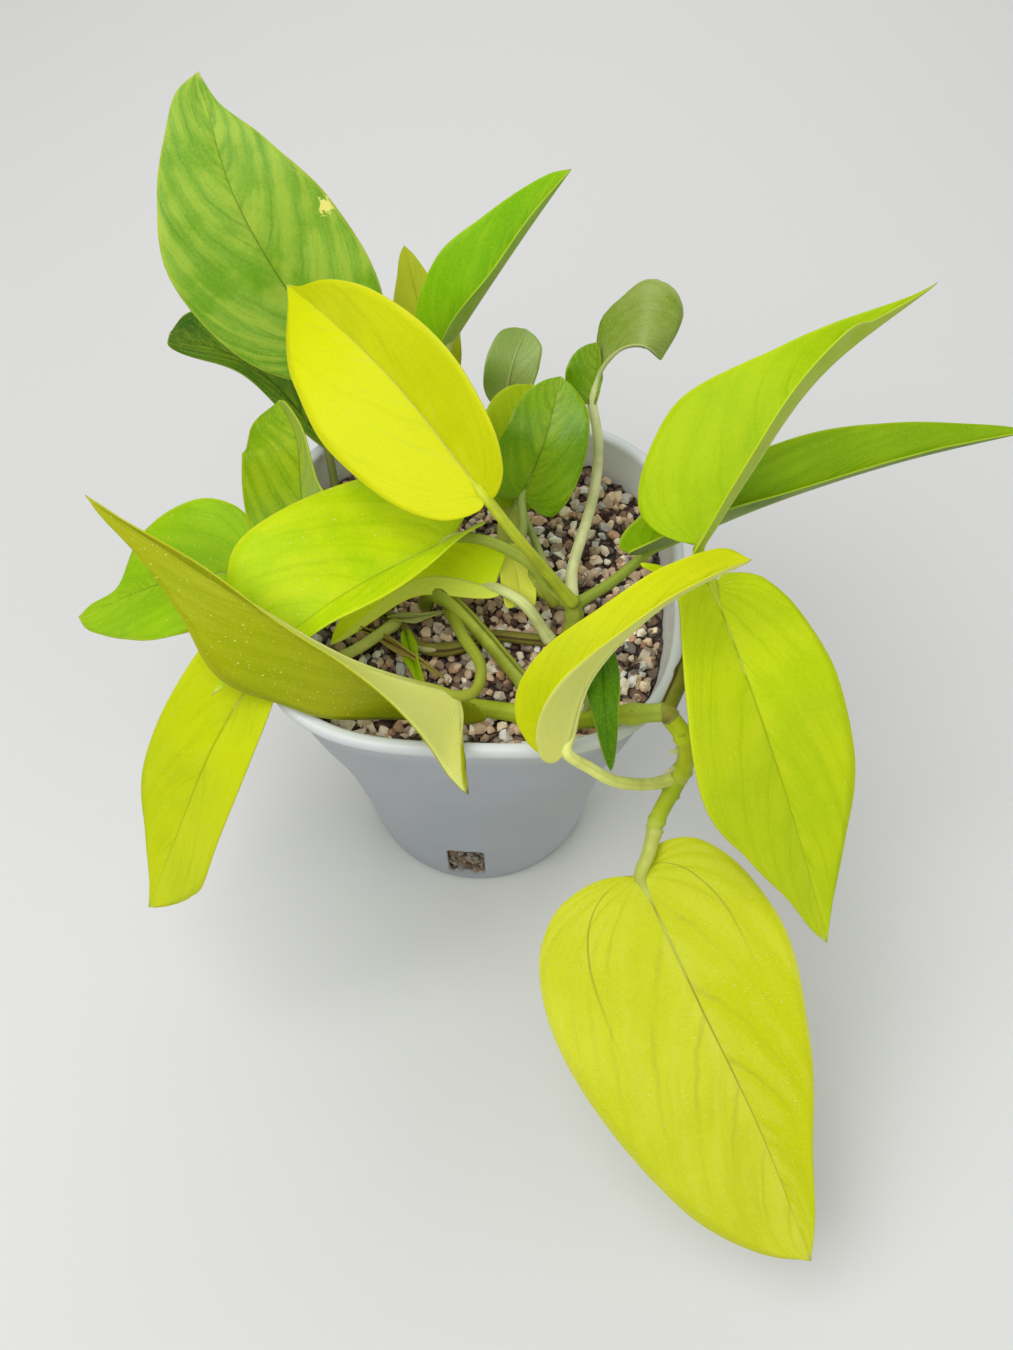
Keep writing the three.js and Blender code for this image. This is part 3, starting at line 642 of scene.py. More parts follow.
vines = {
    "vine_crown": dict(
        nodes=[0.36, 0.62],
        runs=[
            dict(radius=2.6, young=(176, 190, 70), old=(140, 152, 52), patches=0.5, seams=0.2,
             points=[(27, -18, 112), (30, -12, 133), (22, -9, 137), (13, 2, 139), (9, 8, 139)]),
            dict(radius=1.9, young=(140, 140, 56), old=(112, 106, 46), patches=0.9, seams=0.9,
             points=[(28, -18, 122), (17, -19, 125.5), (3, -18, 125.5), (-4, -22, 125.5),
                        (-16, -22, 125.5), (-23, -13, 125.5), (-32, -5, 126), (-39, 11, 127), (-43, 32, 128)]),
        ],
    ),
    "vine_front": dict(
        nodes=[0.3, 0.86],
        runs=[
            dict(radius=2.5, young=(172, 186, 62), old=(146, 158, 48), patches=0.6, seams=0.6,
             points=[(-16, -4, 116), (-13, -7, 132), (-8, -10, 134), (13, -34, 129), (22, -46, 127)]),
            dict(radius=2.7, young=(176, 194, 44), old=(158, 176, 34), patches=0.5, seams=0.1,
             points=[(-5, -43, 126), (8, -45, 126), (30, -50, 129), (41, -55, 139.5), (55, -54, 139.5)]),
            dict(radius=2.4, young=(134, 138, 40), old=(112, 116, 34), patches=0.6, seams=0.95,
             points=[(55, -54, 139.5), (62, -38, 139.5), (67, -23, 140), (67, -9, 146)]),
            dict(radius=2.7, young=(196, 208, 40), old=(176, 190, 30), patches=0.35, seams=0.0,
             points=[(55, -54, 139.5), (60, -59, 135), (62, -60, 126), (61, -61, 114)]),
            dict(radius=2.5, young=(186, 202, 46), old=(166, 186, 34), patches=0.35, seams=0.0,
             points=[(61, -61, 114), (56, -67, 104), (54, -71, 101)]),
            dict(radius=2.8, young=(158, 158, 60), old=(120, 100, 48), patches=0.9, seams=0.0,
             points=[(53.4, -53.8, 139.6), (55.2, -54.4, 139.5), (56.8, -55.6, 138.6)]),
        ],
    ),
}


def makeVines():
    for node, vine in vines.items():
        name = pieceName(node)
        runs = []
        for number, run in enumerate(vine["runs"]):
            def radiusAt(share, base=run["radius"]):
                swell = sum(math.exp(-((share - at) / 0.035) ** 2) for at in vine["nodes"])
                return base * (1 + 0.22 * swell)
            material = stemFinish(name + str(number), paint(*run["young"]), paint(*run["old"]),
                                  run["patches"], run["seams"])
            runs.append(tubePiece("run", SmoothCurve(run["points"]), radiusAt, material))
        settle(joinPieces(runs, name), node)


# Leaves. Midribs and stalks are read in the photograph: x and y in its pixels, then the height in
# millimetres. "faces" is where the upper side looks, and "fold" lifts a half, in degrees, from base to tip.
leaves = [
    dict(node="leaf_tall_back", faces=[(0.15, -0.72, 0.69)], petioleRadius=1.8,
         midrib=[(322, 342, 172), (262, 250, 198), (229, 184, 214), (198, 71, 235)],
         left=dict(width=28, fold=[10, 5], lobe=0.1, reach=0.15, widest=0.45, taper=[0.75, 0.5, 0.3]),
         right=dict(width=27, fold=[20, 10], lobe=0.1, reach=0.4, widest=0.2, taper=[0.9, 0.55, 0.1]),
         petiole=[(343, 505, 128), (362, 487, 134), (356, 430, 146), (336, 372, 164)],
         look=dict(upper=(104, 158, 4), second=(144, 184, 60), under=(150, 180, 80), rib=(82, 132, 6), veins=0.8,
             relief=1.6, specular=0.4, scar=(0.955, 0.556), stalk=(140, 154, 70))),
    dict(node="leaf_yellow_centre", faces=[(0.05, -0.72, 0.69)], petioleRadius=1.8,
         midrib=[(483, 494, 182), (394, 382, 197), (336, 325, 200), (287, 284, 192)],
         left=dict(width=26, fold=[5], lobe=0.03, reach=0.15, taper=[0.8, 0.5, 0.15]),
         right=dict(width=21, fold=[40, 35], lobe=0.03, reach=0.15, widest=0.3, taper=[0.85, 0.45, 0.1]),
         petiole=[(573, 603, 135), (545, 570, 150), (515, 535, 168)],
         look=dict(upper=(198, 206, 0), second=(208, 214, 0), under=(206, 214, 60), rib=(200, 200, 90),
             left=(216, 222, 0), relief=0.4, stalk=(210, 222, 60))),
    dict(node="leaf_upright_back", faces=[(0, -0.72, 0.69)], petioleRadius=1.7,
         midrib=[(447, 346, 168), (484, 292, 185), (527, 230, 198), (571, 169, 208)],
         left=dict(width=17.5, fold=[5, 0], widest=0.35),
         right=dict(width=5, fold=[120, 115], widest=0.35),
         petiole=[(540, 588, 137), (500, 500, 136), (455, 400, 152)],
         look=dict(upper=(118, 176, 0), second=(132, 188, 4), under=(126, 166, 20), rib=(176, 206, 70),
             veins=0.35, relief=0.5)),
    dict(node="leaf_olive_back", faces=[(0.1, -0.72, 0.69)], petioleRadius=1.3,
         midrib=[(440, 375, 146), (420, 310, 160), (404, 245, 172)],
         left=dict(width=12, fold=[20, 10], widest=0.35, taper=[0.7, 0.4, 0.2]),
         right=dict(width=11, fold=[20, 10], widest=0.35, taper=[0.7, 0.45, 0.2]),
         petiole=[(350, 560, 127), (400, 500, 131), (445, 410, 142)],
         look=dict(upper=(188, 196, 40), second=(176, 186, 30), under=(160, 174, 80), rib=(140, 150, 40),
             veins=0.4, relief=0.6)),
    dict(node="leaf_dark_left", faces=[(-0.1, -0.5, 0.85)], petioleRadius=1.5,
         midrib=[(325, 440, 139), (250, 364, 147), (169, 334, 153)],
         left=dict(width=5, fold=[30, 10], widest=0.6, taper=[1, 1, 0.9]),
         right=dict(width=14, fold=[20, 10], widest=0.5, taper=[1, 0.9, 0.6]),
         petiole=[(345, 532, 127.5), (334, 480, 134)],
         look=dict(upper=(48, 92, 0), second=(62, 110, 0), under=(110, 150, 50), rib=(50, 92, 0), veins=0.4,
             relief=0.8, stalk=(112, 120, 56))),
    dict(node="leaf_small_left", faces=[(-0.1, -0.7, 0.7)], petioleRadius=1.5,
         midrib=[(308, 545, 148), (301, 492, 157), (297, 440, 168), (280, 400, 172)],
         left=dict(width=17.5, fold=[5], reach=0.7, widest=0.3, taper=[0.97, 0.92, 0.72]),
         right=dict(width=15, fold=[45, 60], reach=0.6, widest=0.2, taper=[0.7, 0.5, 0.3]),
         petiole=[(350, 560, 127), (338, 554, 136)],
         look=dict(upper=(112, 154, 0), second=(146, 178, 0), under=(138, 166, 70), rib=(78, 128, 0), veins=0.6,
             relief=1.0, right=(160, 180, 84))),
    dict(node="leaf_far_left", faces=[(-0.1, -0.4, 0.9), (-0.3, -0.4, 0.9)], petioleRadius=1.8,
         midrib=[(255, 570, 142), (175, 580, 138), (79, 617, 112)],
         left=dict(width=18, fold=[10], lobe=0.1, reach=0.4, widest=0.45, taper=[0.8, 0.55, 0.3]),
         right=dict(width=23, fold=[10, 5], reach=0.2, widest=0.2, taper=[0.75, 0.15, 0.1]),
         petiole=[(370, 602, 126), (310, 585, 136)],
         look=dict(upper=(132, 180, 0), second=(148, 194, 0), under=(150, 182, 70), rib=(98, 160, 0), relief=0.6,
             dew=0.5)),
    dict(node="leaf_lime_left", faces=[(-0.15, -0.5, 0.85)], petioleRadius=1.9,
         midrib=[(452, 538, 152), (340, 597, 157), (211, 696, 141)],
         left=dict(width=15, fold=[70, 50, 10], lobe=0.1, reach=0.45, taper=[0.6, 0.35, 0.06]),
         right=dict(width=30, fold=[5], lobe=0.15, reach=0.5, widest=0.6, taper=[0.72, 0.36, 0.07]),
         petiole=[(551, 592, 136), (532, 565, 147), (487, 541, 151.5)],
         look=dict(upper=(168, 206, 0), second=(196, 218, 0), under=(184, 206, 70), rib=(138, 180, 0), veins=0.35,
             relief=0.5, dew=1.0, stalk=(184, 200, 80))),
    dict(node="leaf_trough_left", faces=[(-0.2, -0.6, 0.75), (-0.2, -0.55, 0.8)], petioleRadius=1.9,
         midrib=[(458, 696, 145), (355, 664, 160), (225, 588, 168), (85, 495, 170)],
         left=dict(width=26, fold=[-50, -30, 0, 5], lobe=0.1, reach=0.4, widest=0.45, taper=[0.5, 0.22, 0.1]),
         right=dict(width=28, fold=[140, 85, 60, 85], lobe=0.02, reach=0.4, widest=-0.05, taper=[0.2, 0.2, 0.1]),
         petiole=[(449, 608, 129), (463, 636, 137), (481, 668, 142), (474, 692, 144)],
         look=dict(upper=(164, 168, 0), second=(152, 166, 0), under=(212, 216, 104), rib=(150, 158, 0),
             relief=0.5, dew=1.0, stalk=(160, 168, 52))),
    dict(node="leaf_low_left", faces=[(0, -0.5, 0.85)], petioleRadius=1.9,
         midrib=[(493, 587, 140), (421, 578, 136), (330, 645, 125.5)],
         left=dict(width=6, fold=[20], widest=0.35),
         right=dict(width=13, fold=[5, 20], lobe=0.03, reach=0.85, widest=0.3),
         petiole=[(550, 640, 126), (522, 602, 140)],
         look=dict(upper=(190, 216, 0), second=(204, 222, 4), under=(178, 200, 70), rib=(176, 198, 60),
             left=(214, 226, 96), relief=0.5, stalk=(232, 238, 160), glow=0.16)),
    dict(node="leaf_hanging_left", faces=[(-0.3, -0.6, 0.7)], petioleRadius=1.8,
         midrib=[(262, 665, 141), (215, 743, 122), (171, 851, 85), (149, 907, 62)],
         left=dict(width=17, fold=[20, 15], lobe=0.03, reach=0.3, widest=0.7, taper=[0.8, 0.5, 0.2]),
         right=dict(width=18, fold=[10, 5], lobe=0.15, reach=0.7, widest=0.2, taper=[1, 0.55, 0.15]),
         petiole=[(398, 622, 126), (345, 655, 136), (300, 668, 142)],
         look=dict(upper=(202, 214, 0), second=(188, 206, 0), under=(190, 204, 60), rib=(158, 186, 0), veins=0.4,
             relief=0.6, dew=0.4)),
    dict(node="leaf_trough_right", faces=[(-0.3, -0.6, 0.7), (-0.2, -0.5, 0.8)], petioleRadius=1.9,
         midrib=[(566, 750, 148), (590, 678, 166), (660, 608, 176), (752, 560, 172)],
         left=dict(width=17, fold=[5], reach=0.25, widest=0.15, taper=[0.6, 0.5, 0.4]),
         right=dict(width=12, fold=[130, 110, 105, 140], widest=0.2, taper=[0.3, 0.15, 0.1]),
         petiole=[(679, 777, 112), (650, 784, 118), (615, 781, 127), (590, 768, 136)],
         look=dict(upper=(196, 208, 0), second=(206, 214, 0), under=(214, 218, 104), rib=(176, 196, 20),
             veins=0.25, relief=0.4, stalk=(244, 248, 140))),
    dict(node="leaf_large_right", faces=[(0.3, -0.5, 0.8), (0.3, -0.6, 0.7)], petioleRadius=1.8,
         midrib=[(713, 588, 152), (754, 698, 148), (795, 824, 120), (827, 943, 84)],
         left=dict(width=25, fold=[10], lobe=0.03, reach=0.3, widest=0.25, taper=[0.9, 0.5, 0.15]),
         right=dict(width=27, fold=[15, 10], reach=0.9, waist=0.5, widest=0.45, taper=[0.7, 0.35, 0.15]),
         petiole=[(698, 606, 142.5), (706, 586, 148), (711, 579, 152)],
         look=dict(upper=(174, 200, 0), second=(188, 208, 0), under=(180, 200, 60), rib=(128, 166, 0), veins=0.34,
             relief=0.7, dew=0.3, stalk=(190, 210, 46))),
    dict(node="leaf_large_front", faces=[(0, -0.5, 0.85)], petioleRadius=2.3,
         midrib=[(640, 877, 92), (700, 1005, 80), (760, 1130, 58), (811, 1261, 30)],
         left=dict(width=32, fold=[10, 5], reach=0.4, widest=0.25, taper=[0.74, 0.38, 0.16]),
         right=dict(width=43, fold=[10], lobe=0.03, reach=0.4, widest=0.25, taper=[0.9, 0.7, 0.35]),
         petiole=[(655, 829, 101), (648, 855, 98)],
         look=dict(upper=(202, 210, 30), second=(210, 216, 40), under=(186, 204, 60), rib=(136, 128, 52),
             veins=0.36, relief=0.7, dew=0.9, basal=1.0, left=(198, 206, 0), pale=(240, 236, 130))),
    dict(node="leaf_dark_hanging", faces=[(0, -0.4, 0.9), (0, -0.6, 0.7)], petioleRadius=1.2,
         midrib=[(600, 640, 158), (605, 710, 156), (611, 772, 142)],
         left=dict(width=4.6, fold=[20, 10]),
         right=dict(width=4.4, fold=[20, 10]),
         petiole=[(585, 722, 130), (592, 680, 144)],
         look=dict(upper=(60, 110, 0), second=(72, 124, 0), under=(110, 150, 50), rib=(56, 104, 0), veins=0.04,
             relief=0.3)),
    dict(node="leaf_heart_centre", faces=[(0.05, -0.7, 0.7)], petioleRadius=1.5,
         midrib=[(522, 497, 152), (545, 440, 168), (561, 376, 178)],
         left=dict(width=14, fold=[10], reach=0.6, widest=0.25, taper=[0.9, 0.75, 0.4]),
         right=dict(width=13.5, fold=[10], lobe=0.06, reach=0.7, widest=0.25, taper=[0.95, 0.8, 0.4]),
         petiole=[(519, 556, 139), (523, 525, 147)],
         look=dict(upper=(96, 144, 0), second=(122, 166, 0), under=(150, 182, 70), rib=(72, 126, 0), veins=0.36,
             relief=1.2, specular=0.4, gloss=0.24)),
    dict(node="leaf_behind_heart", faces=[(0.05, -0.7, 0.7)], petioleRadius=1.5,
         midrib=[(517, 502, 146), (522, 450, 160), (532, 384, 168)],
         left=dict(width=14, fold=[10], reach=0.4, taper=[0.95, 0.8, 0.5]),
         right=dict(width=9, fold=[10], reach=0.4, taper=[0.9, 0.8, 0.45]),
         petiole=[(512, 551, 139), (510, 530, 141.5)],
         look=dict(upper=(156, 184, 0), second=(168, 192, 8), under=(160, 184, 70), rib=(126, 160, 0),
             relief=0.5)),
    dict(node="leaf_upper_right", faces=[(-0.3, -0.6, 0.7)], petioleRadius=1.9,
         midrib=[(700, 545, 163), (742, 482, 178), (814, 381, 197), (937, 283, 198)],
         left=dict(width=28, fold=[5], lobe=0.03, reach=0.55, widest=0.25, taper=[0.46, 0.2, 0.05]),
         right=dict(width=8, fold=[85, 110, 115], reach=0.2, widest=0.58, taper=[0.45, 0.2, 0.06]),
         petiole=[(700, 572, 146), (699, 558, 155)],
         look=dict(upper=(162, 198, 0), second=(176, 206, 0), under=(160, 184, 28), rib=(140, 176, 0), relief=0.5,
             dew=0.2, stalk=(176, 196, 60))),
    dict(node="leaf_far_right", faces=[(-0.1, -0.6, 0.8)], petioleRadius=1.8,
         midrib=[(650, 551, 146), (765, 504, 152), (893, 463, 154), (1030, 431, 145)],
         left=dict(width=16, fold=[15, 5], lobe=0.06, taper=[0.75, 0.45, 0.2]),
         right=dict(width=9, fold=[100, 95], reach=0.9, widest=0.1, taper=[0.65, 0.45, 0.25]),
         petiole=[(573, 606, 132), (612, 582, 139), (639, 560, 144)],
         look=dict(upper=(130, 172, 0), second=(142, 184, 0), under=(92, 124, 34), rib=(96, 150, 0), veins=0.35,
             relief=0.5, stalk=(150, 168, 60))),
    dict(node="leaf_small_back", faces=[(0, 0.7, -0.7)], petioleRadius=1.3,
         midrib=[(505, 402, 150), (512, 365, 162), (526, 329, 168)],
         left=dict(width=8.5, fold=[-10], widest=0.5, taper=[0.95, 0.85, 0.5]),
         right=dict(width=8.5, fold=[-10], widest=0.5, taper=[0.95, 0.85, 0.5]),
         petiole=[(558, 596, 136), (541, 556, 132), (516, 490, 134), (507, 430, 142)],
         look=dict(upper=(100, 150, 10), second=(110, 160, 20), under=(134, 162, 66), rib=(110, 140, 40),
             veins=0.4, relief=0.8, specular=0.5, gloss=0.16)),
    dict(node="leaf_curled_back", faces=[(0.1, 0.6, -0.7)], petioleRadius=1.8,
         midrib=[(592, 401, 165), (601, 371, 172), (622, 349, 180), (645, 346, 184), (661, 360, 178)],
         left=dict(width=11, fold=[100, 80], reach=0.5, widest=0.25, taper=[0.5, 0.3, 0.1]),
         right=dict(width=19.5, fold=[60, 50, 20, 0, 0], reach=0.1, waist=1.15, widest=0.75,
             taper=[0.8, 0.5, 0.25]),
         flap=dict(midrib=[(592, 402, 165.5), (596, 374, 172), (598, 342, 179)], faces=[(0, -0.6, 0.75)],
             left=dict(width=9.5, fold=[10], reach=0.3, widest=0.5, taper=[0.9, 0.7, 0.4]),
             right=dict(width=2, fold=[10])),
         petiole=[(572, 600, 131), (572, 572, 134), (594, 493, 145), (598, 440, 155)],
         look=dict(upper=(92, 138, 0), second=(104, 150, 0), under=(116, 142, 20), rib=(106, 130, 34), veins=0.45,
             relief=0.8, specular=0.3, gloss=0.18, stalk=(246, 248, 186))),
    dict(node="leaf_new_rolled", faces=[(0, -0.5, 0.85)],
         midrib=[(406, 634, 128), (413, 661, 129), (424, 692, 128)],
         left=dict(width=2.6, fold=[30], taper=[0.8, 0.6, 0.4]),
         right=dict(width=2.6, fold=[30], taper=[0.8, 0.6, 0.4]),
         look=dict(upper=(136, 176, 0), second=(154, 190, 0), under=(150, 182, 70), rib=(112, 150, 0), veins=0.2,
             relief=0.2)),
]


def outlineCurve(half):
    shape = {**plainHalf, **half}
    lobe, reach, waist, widest, taper = (shape[key] for key in ("lobe", "reach", "waist", "widest", "taper"))

    def shoulder(degrees):
        angle = math.radians(degrees)
        return (-lobe + (widest + lobe) * (1 - math.cos(angle)),
                mix(reach, 1, math.sin(angle)) * (1 - waist * math.cos(angle)), 0)

    return SmoothCurve([
        (0, 0, 0), (-lobe * 0.8, reach * 0.4, 0), (-lobe, reach, 0), shoulder(30), shoulder(60), (widest, 1, 0),
        (mix(widest, 1, 0.35), taper[0], 0), (mix(widest, 1, 0.65), taper[1], 0),
        (mix(widest, 1, 0.88), taper[2], 0), (1, 0, 0),
    ])


def alongLeaf(stations, t):
    # a value given at a few even stations from base to tip, read in between
    if len(stations) == 1:
        return stations[0]
    place = t * (len(stations) - 1)
    low = min(int(place), len(stations) - 2)
    return mix(stations[low], stations[low + 1], smooth(place - low))


def facingAt(leaf, curve, t):
    tangent = curve.direction(t)
    normal = alongLeaf([Vector(face) for face in leaf["faces"]], t)
    return tangent, (normal - tangent * normal.dot(tangent)).normalized()


def leafSurface(leaf):
    curve = SmoothCurve([seen(*point) for point in leaf["midrib"]])
    kept = {}

    def frameAt(t):
        key = round(t * 900)
        if key not in kept:
            tangent, normal = facingAt(leaf, curve, key / 900)
            kept[key] = (curve.point(key / 900), tangent, normal, tangent.cross(normal))
        return kept[key]

    def place(forward, across, side):
        t = clamp(forward)
        middle, tangent, normal, right = frameAt(t)
        middle = middle + tangent * (forward - t) * curve.length
        half = leaf["right"] if side > 0 else leaf["left"]
        phase = blade["phases"]["right" if side > 0 else "left"]
        fold = math.radians(alongLeaf(half["fold"], t))
        wave = blade["waveHeight"] * across ** 2 * math.sin(2 * math.pi * blade["waves"] * t + phase)
        outward = right * side * math.cos(fold) + normal * math.sin(fold)
        facing = normal * math.cos(fold) - right * side * math.sin(fold)
        return middle + outward * across * half["width"] + facing * wave, facing

    return curve, place


def reliefAt(across, row, distance, forward, strength, where):
    # the blade sinks along its veins and its midrib, and is never quite even in between
    line = (row - blade["veinBend"] * across ** 2) * blade["veins"]
    ridge = abs((line % 1) - 0.5) * 2
    vein = blade["veinDepth"] * ridge ** 4 * min(1, across * 5) * (1 - across) ** 0.5
    groove = blade["grooveDepth"] * math.exp(-(distance / blade["grooveWidth"]) ** 2) * (1 - forward)
    crumple = blade["crumple"] * noise.noise(where / blade["crumpleSize"]) * min(1, distance / 6)
    return crumple * min(1, strength) - vein * strength - groove


def bladePiece(leaf, upper, under):
    curve, place = leafSurface(leaf)
    rows, columns = blade["rows"], blade["columns"]
    strength = leaf["look"].get("relief", 1)
    margins = {}
    for side, half in ((1, leaf["right"]), (-1, leaf["left"])):
        outline = outlineCurve(half)
        edges = [outline.point(i / rows) for i in range(rows + 1)]
        margins[side] = [(edge.x, 0 if i in (0, rows) else max(0, edge.y)) for i, edge in enumerate(edges)]
    starts = [
        clamp((a[0] + b[0]) / 2 - blade["veinSlant"] * (a[1] + b[1]) / 2)
        for a, b in zip(margins[1], margins[-1])
    ]
    points, faces, uv, acrossMm = [], [], [], []
    index = {}

    def vertex(forward, across, side, row, share):
        key = (round(forward, 5), round(across * side, 5))
        if key not in index:
            index[key] = len(points)
            point, facing = place(forward, across, side)
            half = leaf["right"] if side > 0 else leaf["left"]
            distance = across * half["width"]
            point = point + facing * reliefAt(share, row, distance, clamp(forward), strength, point)
            points.append(point)
            uv.append((0.5 + 0.5 * side * share, row))
            acrossMm.append(distance)
        return index[key]

    for side, margin in margins.items():
        grid = []
        for i, (forward, across) in enumerate(margin):
            shares = [(j / columns) ** blade["crowding"] for j in range(columns + 1)]
            grid.append([
                vertex(mix(starts[i], forward, share), across * share, side, i / rows, share)
                for share in shares
            ])
        for i in range(0 if starts[1] > 0 else 1, rows):
            for j in range(columns):
                quad = [grid[i][j], grid[i][j + 1], grid[i + 1][j + 1], grid[i + 1][j]]
                corners = [q for k, q in enumerate(quad) if q not in quad[:k]]
                if len(corners) > 2:
                    faces.append(tuple(corners if side > 0 else reversed(corners)))
    zero = [0.0] * len(points)
    piece = meshPiece("blade", points, faces, {"along": zero, "around": zero, "acrossMm": acrossMm}, uv)
    piece.data.materials.append(upper)
    piece.data.materials.append(under)
    applyModifier(piece, "SOLIDIFY", thickness=blade["thickness"] * mm, offset=0, use_even_offset=False,
                  material_offset=1, material_offset_rim=0)
    return piece, curve, place


def leafFinish(name, look, upperSide, seed):
    roughness = look.get("gloss", 0.42) + (0 if upperSide else 0.1)
    finish = Finish(name, Roughness=roughness, IOR=1.4, Subsurface_Weight=0.08, Subsurface_Scale=0.003,
                    Specular_IOR_Level=look.get("specular", 0.18), Emission_Strength=look.get("glow", 0.0))
    finish.shader.inputs["Subsurface Radius"].default_value = (0.6, 1.0, 0.1)
    place = finish.objectPlace()
    leafMap = finish.node("ShaderNodeUVMap", {"uv_map": "leafMap"})
    u, row = finish.axis(leafMap, 0), finish.axis(leafMap, 1)
    across = abs(u * 2 - 1)
    leftHalf = 1 - finish.step(u, 0.492, 0.508)
    distance = finish.own("acrossMm")
    broad = finish.noise(place, 48, 3, 0.55)
    fine = finish.noise(place, 1300, 3, 0.7)
    wobble = finish.noise(place, 150, 2)
    # side veins leave the midrib and bend towards the tip; the skin between them is puckered along them, with
    # painted sheen on the puckers' tops and painted shade in the valleys
    slant = row - across * across * blade["veinBend"]
    line = (slant + wobble * 0.02) * blade["veins"] + leftHalf * 0.37
    streakAt = finish.node("ShaderNodeCombineXYZ", None,
                           {0: line * 2.1, 1: across * 1.3 + leftHalf * 9, 2: seed * 3.7})
    streak = finish.noise(streakAt, 1.0, 3, 0.6)
    threadAt = finish.node("ShaderNodeCombineXYZ", None,
                           {0: line * 6, 1: across * 3.5 + leftHalf * 9, 2: seed * 1.9})
    thread = finish.noise(threadAt, 1.0, 2, 0.5)
    fraction = finish.node("ShaderNodeMath", {"operation": "FRACT"}, {0: line})
    ridge = abs(fraction - 0.5) * 2
    vein = finish.step(ridge, 0.8, 0.99) * (1 - across * 0.75) * finish.step(broad, 0.3, 0.6)
    pillow = (1 - finish.step(ridge, 0.15, 0.8)) * finish.step(broad, 0.3, 0.6)
    light = finish.step(streak * 0.7 + pillow * 0.3, 0.36, 0.64)
    midrib = 1 - finish.step(distance + row * 0.8, 0.35, 1.0)
    margin = finish.step(across, 0.955, 0.995)
    contrast = look.get("veins", 0.3) * (1 if upperSide else 0.4)
    if upperSide:
        first, second, rib = (paint(*look[key]) for key in ("upper", "second", "rib"))
        pale = between(second, paint(*look.get("pale", (236, 232, 70))), 0.42)
    else:
        first = paint(*look["under"])
        second = between(first, paint(206, 212, 140), 0.25)
        pale = rib = between(first, paint(222, 226, 166), 0.5)
    finish.colour = finish.blend(finish.step(broad, 0.3, 0.7), first, second)
    # painted light: one half in its own tone, for how the light falls on that half
    if upperSide and "left" in look:
        finish.lay(leftHalf * 0.85, paint(*look["left"]))
    if upperSide and "right" in look:
        finish.lay((1 - leftHalf) * 0.85, paint(*look["right"]))
    # painted sheen on the tops of the puckers
    finish.lay(light * contrast * 0.75, between(second, pale, 0.5))
    # painted shade in the valleys between the puckers
    finish.lay((1 - finish.step(streak, 0.3, 0.46)) * contrast * 0.6, shade(first, 0.72))
    finish.lay(finish.step(thread, 0.5, 0.7) * contrast * 0.28, shade(first, 0.86))
    finish.lay(vein * contrast * 0.7, rib)
    finish.lay(finish.step(fine, 0.48, 0.7) * 0.24, pale)
    finish.lay((1 - finish.step(fine, 0.3, 0.5)) * 0.16, shade(first, 0.8))
    halo = (1 - finish.step(distance, 0.8, 5.5)) * finish.step(thread, 0.35, 0.7)
    finish.lay(halo * min(0.32, 0.06 + contrast), pale)
    finish.lay(midrib * 0.85, rib)
    finish.lay(margin * 0.5, pale)
    finish.lay(finish.step(row, 0.975, 0.995) * 0.7, paint(206, 206, 110))
    if upperSide and "scar" in look:
        # a healed scrape beside the margin
        aside, forward = look["scar"]
        gap = ((u * 50 - aside * 50) ** 2 + (row * 130 - forward * 130) ** 2) ** 0.5
        ragged = gap + (finish.noise(place, 460, 4, 0.75) - 0.5) * 10
        finish.lay(1 - finish.step(ragged, 1.3, 1.9), paint(236, 228, 120))
    if upperSide and "basal" in look:
        # one strong vein on each side runs from the notch into the blade
        way = abs(across - row ** 0.9 * 1.2)
        basal = (1 - finish.step(way, 0.004, 0.016)) * (1 - finish.step(row, 0.42, 0.56))
        finish.lay(basal * 0.6, rib)
    height = streak * contrast * 1.6 + thread * 0.12 - vein * 0.4 + fine * 0.16 - midrib * 0.5
    dew = look.get("dew", 0.0) if upperSide else 0.0
    if dew:
        for scale, reach in ((300, 0.12), (430, 0.12), (560, 0.13)):
            spots = finish.cells(place, scale)
            chosen = finish.first(finish.cells(place, scale, 1))
            drop = (1 - finish.step(spots, reach * 0.6, reach)) * finish.step(chosen, 0.25, 0.28) * dew
            finish.lay(drop * 0.6, paint(246, 246, 120))
            height = height + drop * 0.9
    finish.feed(Base_Color=finish.colour, Roughness=roughness + fine * 0.14 + light * contrast * 0.1)
    if "glow" in look:
        # painted light: the blade glows in its own colour, standing in for light that comes through the thin
        # blade
        finish.feed(Emission_Color=finish.colour)
    finish.bump(height, 0.0004, 0.6)
    return finish.material


